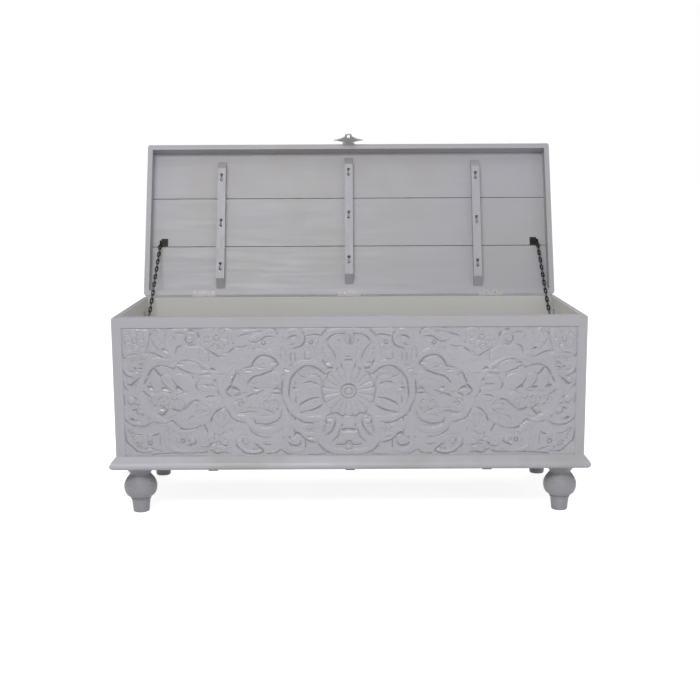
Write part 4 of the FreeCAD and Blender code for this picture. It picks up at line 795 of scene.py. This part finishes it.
class Relief:
    """A height in mm over the carved board: forms first, then the valleys between them."""

    def __init__(self, x0, x1, z0, z1, pitch):
        self.nx, self.nz = int(round((x1 - x0) / pitch)) + 1, int(round((z1 - z0) / pitch)) + 1
        self.xs, self.zs = np.linspace(x0, x1, self.nx), np.linspace(z0, z1, self.nz)
        self.h = np.full((self.nz, self.nx), FIELD)
        self.valley = np.zeros((self.nz, self.nx))

    def window(self, line, margin):
        """The part of the grid round a line, with its x and z."""
        lo, hi = line.min(0) - margin, line.max(0) + margin
        columns = slice(*np.searchsorted(self.xs, (lo[0], hi[0])))
        rows = slice(*np.searchsorted(self.zs, (lo[1], hi[1])))
        return (rows, columns), *np.meshgrid(self.xs[columns], self.zs[rows])

    def around(self, x, z, reach):
        return self.window(np.array([[x, z]]), reach)

    @staticmethod
    def nearest(line, X, Z):
        """Distance to a line, how far along it that is, and how far above it."""
        best = np.full(X.shape, 1e9)
        along, above = np.zeros(X.shape), np.zeros(X.shape)
        for i, ((ax, az), (bx, bz)) in enumerate(zip(line[:-1], line[1:])):
            dx, dz = bx - ax, bz - az
            t = np.clip(((X - ax) * dx + (Z - az) * dz) / (dx * dx + dz * dz + 1e-9), 0, 1)
            d = np.hypot(X - ax - t * dx, Z - az - t * dz)
            closer = d < best
            along = np.where(closer, i + t, along)
            above = np.where(closer, Z - az - t * dz, above)
            best = np.minimum(best, d)
        return best, along / (len(line) - 1), above

    def raise_to(self, where, depth, top, edge, dome):
        """Lifts the ground to a form's top, by how deep inside the form each place lies."""
        side = np.clip(depth / edge, 0, 1)
        side = side * (2 - side)
        bulge = DOME_RISE * dome * np.clip(depth / DOME_REACH, 0, 1)
        form = FIELD + FORM_SHARE * (top - FIELD) * side + bulge
        self.h[where] = np.where(depth > 0, np.maximum(self.h[where], form), self.h[where])

    def form(self, outline, top=CREST, edge=FORM_EDGE, dome=FORM_DOME, smooth=True):
        """A closed raised shape with rounded sides."""
        line = curve_through(outline, True) if smooth else np.array([*outline, outline[0]], float)
        where, X, Z = self.window(line, 1)
        inside = np.zeros(X.shape, bool)
        for (ax, az), (bx, bz) in zip(line[:-1], line[1:]):
            crosses = (az > Z) != (bz > Z)
            inside ^= crosses & (X < (bx - ax) * (Z - az) / (bz - az + 1e-12) + ax)
        self.raise_to(where, np.where(inside, self.nearest(line, X, Z)[0], 0.0), top, edge, dome)

    def disc(self, x, z, r, top, edge=FORM_EDGE, dome=FORM_DOME, step=EIGHTH):
        """A round raised shape."""
        sides = round(2 * math.pi / step)
        self.form([(x + r * math.cos(k * step), z + r * math.sin(k * step)) for k in range(sides)], top, edge, dome)

    def strip(self, line, start, end):
        """A raised strip whose width changes from start to end along a curve."""
        line = curve_through(line)
        wide = max(start, end) / 2
        where, X, Z = self.window(line, wide + 1)
        d, along, _ = self.nearest(line, X, Z)
        depth = (start + (end - start) * along) / 2 - d
        self.raise_to(where, np.maximum(depth, 0), CREST, min(FORM_EDGE, wide), FORM_DOME)

    def cut(self, line, deep, wide, taper=True):
        """A valley along a curve: steep above it, with a long slope below it that looks up to the light."""
        line = curve_through(line)
        where, X, Z = self.window(line, VALLEY_REACH)
        d, along, above = self.nearest(line, X, Z)
        ends = np.clip(np.minimum(along, 1 - along) * END_RUN, END_SHARE, 1) if taper else 1.0
        lean = above / (d + 0.4)
        shape = CORE_SHARE * bell(d, CORE_WIDTH * wide) + SLOPE_SHARE * bell(d, SLOPE_REACH - SLOPE_CHANGE * lean)
        deep = VALLEY_MOST * (1 - math.exp(-deep / VALLEY_EASE))
        self.valley[where] = np.maximum(self.valley[where], deep * shape * ends)

    def ring(self, x, z, rx, rz, deep, wide, start=0, end=360):
        """A valley round a circle or an oval, or round a part of it."""
        a0, a1 = math.radians(start), math.radians(end)
        count = max(5, int(abs(a1 - a0) * 2.2))
        steps = [a0 + (a1 - a0) * i / count for i in range(count + 1)]
        self.cut([(x + rx * math.cos(a), z + rz * math.sin(a)) for a in steps], deep, wide, (start, end) != (0, 360))

    def dot(self, x, z, r, deep):
        """A small round hollow."""
        where, X, Z = self.around(x, z, 2.5 * r)
        self.valley[where] = np.maximum(self.valley[where], deep * bell(np.hypot(X - x, Z - z), r))

    def facet(self, x, z, rx, rz, lift, lean_deg=0):
        """A patch that stands out towards its lower edge, so that it looks up to the light. A high one is small."""
        where, X, Z = self.around(x, z, 1.5 * max(rx, rz))
        a = math.radians(lean_deg)
        bright = lift > BRIGHT_LIFT
        if bright:
            rx, rz = min(rx, BRIGHT_WIDE), min(rz, BRIGHT_HIGH)
        u = ((X - x) * math.cos(a) + (Z - z) * math.sin(a)) / rx
        v = ((Z - z) * math.cos(a) - (X - x) * math.sin(a)) / rz
        inside = np.clip((FACET_END - np.hypot(u, v)) * FACET_FADE, 0, 1)
        tall = math.hypot(rx * math.sin(a), rz * math.cos(a))
        down = np.clip((z - Z) / tall, -FACET_CAP, FACET_CAP)
        slope, sunk = (BRIGHT_SLOPE * tall, BRIGHT_SUNK) if bright else (DULL_SLOPE * lift, DULL_SUNK)
        self.h[where] += (slope * down - sunk * slope) * inside

    def petals(self, x, z, count, r0, r1, start, sweep, lift):
        """Small round-tipped petals side by side round a point, each with a groove down its middle."""
        where, X, Z = self.around(x, z, r1 + 1)
        r, a = np.hypot(X - x, Z - z), np.degrees(np.arctan2(Z - z, X - x))
        turn = (a - start) % 360
        u = (turn * count / sweep % 1.0) * 2 - 1
        reach = r1 * (1 - 0.22 * np.abs(u) ** 2.2)
        depth = np.minimum(reach - r, r - r0)
        pillow = np.clip(depth / 4.0, 0, 1) ** 0.6 * (1 - 0.75 * np.abs(u) ** 2.5)
        groove = 0.7 * bell(u, 0.16) * np.clip(depth / 5, 0, 1)
        tip = 0.5 * lift * np.clip((r - r0) / (r1 - r0), 0, 1)
        petal = FIELD - 0.5 + (lift + tip) * pillow - groove
        self.h[where] = np.where((depth > 0) & (turn < sweep), petal, self.h[where])

    def veins(self, stem, count, length, deep, lean_deg):
        """Short side cuts spread along a curve, all leaning the same way from it."""
        line = curve_through(stem)
        step = np.hypot(*np.diff(line, axis=0).T)
        along = np.concatenate([[0], np.cumsum(step)])
        for k in range(count):
            s = along[-1] * (k + 0.6) / count
            i = min(int(np.searchsorted(along, s)), len(line) - 1)
            a = line[i - 1] + (line[i] - line[i - 1]) * (s - along[i - 1]) / (along[i] - along[i - 1])
            way = math.atan2(*(line[i] - line[i - 1])[::-1]) + math.radians(lean_deg)
            reach = length * (0.8 + 0.35 * math.sin(2.4 * k + stem[0][0]))
            b = (a[0] + 0.55 * reach * math.cos(way), a[1] + 0.55 * reach * math.sin(way))
            way += VEIN_BEND
            c = (b[0] + 0.5 * reach * math.cos(way), b[1] + 0.5 * reach * math.sin(way))
            self.cut([a, b, c], deep, VEIN_WIDTH)

    def rosette(self, x, z, count, r0, r1, top):
        """A ring of fluted petals with round tips, clear of valleys."""
        where, X, Z = self.around(x, z, r1 + 3)
        r, a = np.hypot(X - x, Z - z), np.arctan2(Z - z, X - x)
        u = (((a + ROSETTE_START) * count / (2 * math.pi)) % 1.0) * 2 - 1
        reach = r1 - 4.0 * np.abs(u) ** 2.4
        depth = np.minimum(reach - r, r - r0)
        flute = 2.3 * np.abs(u) ** 2.6 * np.clip((r - r0) / 14, 0.3, 1) + 0.45 * bell(u, 0.12)
        side = np.sqrt(1 - (1 - np.clip(depth / 3.0, 0, 1)) ** 2)
        self.h[where] = np.where(depth > 0, FIELD + (top - FIELD) * side - flute, self.h[where])
        self.valley[where] = np.where(depth > 2, 0, self.valley[where])

    def height(self):
        """The finished height: forms less valleys, with faint marks of the gouge, level with the frame at its edge."""
        X, Z = np.meshgrid(self.xs, self.zs)
        edge = np.minimum(X - self.xs[0], np.minimum(Z - self.zs[0], self.zs[-1] - Z))
        rim = bell(np.maximum(edge, 0), 1.6)
        h = self.h + (CARVE_DEPTH - self.h) * rim
        marks = 0.16 * np.sin(X * 0.83 + 2.3 * np.sin(Z * 0.21)) * np.sin(Z * 0.67 + 1.9 * np.sin(X * 0.17))
        marks += 0.12 * np.sin(X * 0.41 - Z * 0.52 + 2.0 * np.sin(X * 0.11 + Z * 0.07))
        return np.clip(h + marks * (1 - rim) - self.valley, DEEPEST, CARVE_DEPTH)


def carve(board):
    """Lays out the pattern: raised forms, flowers, facets, valleys and last the rosette and its button."""
    for start, end, *row in STRIPS:
        board.strip(points(row), start, end)
    for top, *row in LEAVES:
        board.form(points(row), top)
    for top, edge, dome, *row in DIAMONDS:
        board.form(points(row), top, edge, dome, smooth=False)
    for x, z, r in BUDS:
        board.disc(-x, z, r, BUD_TOP, dome=0.3)
    for x, z, *flower in FLOWERS:
        board.petals(-x, z, *flower)
    for x, z, r in EYES:
        board.disc(-x, z, r, EYE_TOP, dome=0.4)
        board.ring(-x, z, r, r, EYE_RING_DEPTH, EYE_RING_WIDTH)
    for x, z, *facet in FACETS:
        board.facet(-x, z, *facet)
    for count, length, deep, lean_deg, *row in VEINS:
        board.veins(points(row), count, length, deep, lean_deg)
    for deep, wide, *row in BORDER_CUTS:
        board.cut(points(row), deep, wide, taper=False)
    for deep, wide, *row in OUTER_CUTS + INNER_CUTS:
        board.cut(points(row), deep, wide)
    for x, z, *ring in RINGS:
        board.ring(-x, z, *ring)
    for x, z, r, deep in DOTS:
        board.dot(-x, z, r, deep)
    board.rosette(ROSETTE_X, ROSETTE_Z, ROSETTE_PETALS, ROSETTE_INNER, ROSETTE_OUTER, ROSETTE_TOP)
    for r, top, edge in BUTTON_STEPS:
        board.disc(ROSETTE_X, ROSETTE_Z, r, top, edge, 0.0, TWELFTH)
    for r, deep in BUTTON_RINGS:
        board.ring(ROSETTE_X, ROSETTE_Z, r, r, deep, BUTTON_RING_WIDTH)
    board.facet(ROSETTE_X, ROSETTE_Z + 12.5, 12, 3.6, 1.2)


def carved_front():
    """The carved board as one fine mesh, mirrored about its middle, with plain sides and back."""
    low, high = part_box("carved_front_panel")
    board = Relief(low.x * MM, MIDDLE, low.z * MM, high.z * MM, CARVE_PITCH)
    carve(board)
    h = board.height()
    h = np.hstack([h, h[:, ::-1][:, 1:]])
    X, Z = np.meshgrid(np.concatenate([board.xs, np.linspace(MIDDLE, high.x * MM, board.nx)[1:]]), board.zs)
    # The staple's pad stands flush with the frame
    pad = (np.abs(X) < PAD_HALF_WIDTH) & (np.abs(Z - PAD_Z) < PAD_HALF_HEIGHT)
    h = np.where(pad, CARVE_DEPTH, h)
    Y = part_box("front_top_rail")[0].y + CARVE_DEPTH / MM - h / MM
    corners = [(x, high.y, z) for x, z in ((low.x, low.z), (high.x, low.z), (high.x, high.z), (low.x, high.z))]
    verts = np.vstack([np.stack([X / MM, Y, Z / MM], -1).reshape(-1, 3), corners])
    n = h.size
    idx = np.arange(n).reshape(h.shape)
    faces = np.stack([idx[:-1, :-1], idx[:-1, 1:], idx[1:, 1:], idx[1:, :-1]], -1).reshape(-1, 4).tolist()
    smooth = len(faces)
    faces += [[n, n + 3, n + 2, n + 1], idx[0, ::-1].tolist() + [n, n + 1], idx[-1, :].tolist() + [n + 2, n + 3],
              idx[:, 0].tolist() + [n + 3, n], idx[::-1, -1].tolist() + [n + 1, n + 2]]
    mesh = new_piece("carved_front", verts.tolist(), faces, smooth, carved, "carved_front_panel")
    # The height, from which the carving's paint takes its painted shade in the hollows
    relief = mesh.attributes.new("relief", "FLOAT", "POINT")
    relief.data.foreach_set("value", np.concatenate([(h / CARVE_DEPTH).reshape(-1), np.ones(4)]).astype(np.float32))


carved_front()


# Floor, sky and lamps
FLOOR_SIZE, FLOOR_CENTRE = 60, (0, 8, 0)
FLOOR_WHITE = (0.80, 0.80, 0.80)
FLOOR_GLOW = 0.78
SKY_COLOUR = (0.93, 0.95, 1.0)
SKY_STRENGTH = 0.36
WHITE = (1.0, 1.0, 1.0)


def white_floor():
    """A white floor that keeps the chest's shadow, and looks white to the camera and in metal and glass."""
    white = Finish("studio_floor")
    path = white.add("LightPath")
    seen = white.maths("ADD", path.outputs["Is Camera Ray"], path.outputs["Is Glossy Ray"])
    seen = white.maths("ADD", seen, path.outputs["Is Transmission Ray"])
    white.dress({"Base Color": FLOOR_WHITE, "Roughness": 0.9, "Specular IOR Level": 0.1,
                 "Emission Color": WHITE, "Emission Strength": white.maths("MULTIPLY", seen, FLOOR_GLOW)})
    bpy.ops.mesh.primitive_plane_add(size=FLOOR_SIZE, location=FLOOR_CENTRE)
    floor = bpy.context.object
    floor.name = "studio_floor"
    floor.data.materials.append(white.material)


def sky():
    """An even light from all sides, which looks white to the camera and through glass."""
    world = bpy.data.worlds.new("studio")
    bpy.context.scene.world = world
    light = Nodes(world, "OutputWorld")
    path = light.add("LightPath")
    pick = light.add("MixShader")
    seen = light.maths("MAXIMUM", path.outputs["Is Camera Ray"], path.outputs["Is Transmission Ray"])
    light.put(seen, pick.inputs["Fac"])
    for colour, strength, socket in ((SKY_COLOUR, SKY_STRENGTH, pick.inputs[1]), (WHITE, 1.0, pick.inputs[2])):
        glow = light.add("Background")
        glow.inputs["Color"].default_value = (*colour, 1)
        glow.inputs["Strength"].default_value = strength
        light.put(glow.outputs[0], socket)
    light.put(pick.outputs[0], light.surface)


def lamp(name, place, aim, size, energy, colour=WHITE):
    """A soft lamp, size wide and high, in watts."""
    data = bpy.data.lights.new(name, "AREA")
    data.shape = "RECTANGLE"
    data.size, data.size_y = size
    data.energy = energy
    data.color = colour
    obj = bpy.data.objects.new(name, data)
    bpy.context.collection.objects.link(obj)
    obj.location = place
    obj.rotation_euler = (Vector(aim) - Vector(place)).to_track_quat("-Z", "Y").to_euler()


white_floor()
sky()
lamp("key", (-0.6, -3.0, 2.6), (0, 0, 0.5), (1.8, 0.8), 57, (1.0, 0.99, 0.97))
lamp("fill", (2.6, -2.4, 1.3), (0, 0, 0.4), (1.6, 1.6), 7, (0.97, 0.985, 1.0))
lamp("front", (0.3, -3.5, 0.95), (0, 0, 0.35), (2.0, 0.8), 8, (1.0, 0.995, 0.985))
lamp("top", (0.0, -0.7, 3.0), (0, 0, 0.4), (2.4, 1.2), 8)
lamp("back", (0.4, 2.4, 2.6), (0, 0, 0.4), (2.0, 1.4), 26)

# Camera at the photograph's place: metres, degrees, and a focal length in the photograph's pixels
CAMERA_PLACE = (-0.002, -2.959, 0.838)
YAW_DEG, PITCH_DEG, ROLL_DEG = 0.063, -9.227, -0.28
FOCAL_PX, PHOTO_PX = 1128.4, 700
SENSOR = 36.0


def camera():
    """Looks at the chest as the photograph does."""
    data = bpy.data.cameras.new("camera")
    data.sensor_width = SENSOR
    data.lens = SENSOR * FOCAL_PX / PHOTO_PX
    cam = bpy.data.objects.new("camera", data)
    bpy.context.collection.objects.link(cam)
    yaw, pitch, roll = (math.radians(v) for v in (YAW_DEG, PITCH_DEG, ROLL_DEG))
    forward = Vector((math.sin(yaw) * math.cos(pitch), math.cos(yaw) * math.cos(pitch), math.sin(pitch)))
    right = forward.cross(Vector((0, 0, 1))).normalized()
    up = right.cross(forward)
    right, up = right * math.cos(roll) + up * math.sin(roll), up * math.cos(roll) - right * math.sin(roll)
    cam.location = CAMERA_PLACE
    cam.rotation_euler = Matrix((right, up, -forward)).transposed().to_euler()
    bpy.context.scene.camera = cam
    bpy.context.scene.view_settings.view_transform = "Standard"


camera()
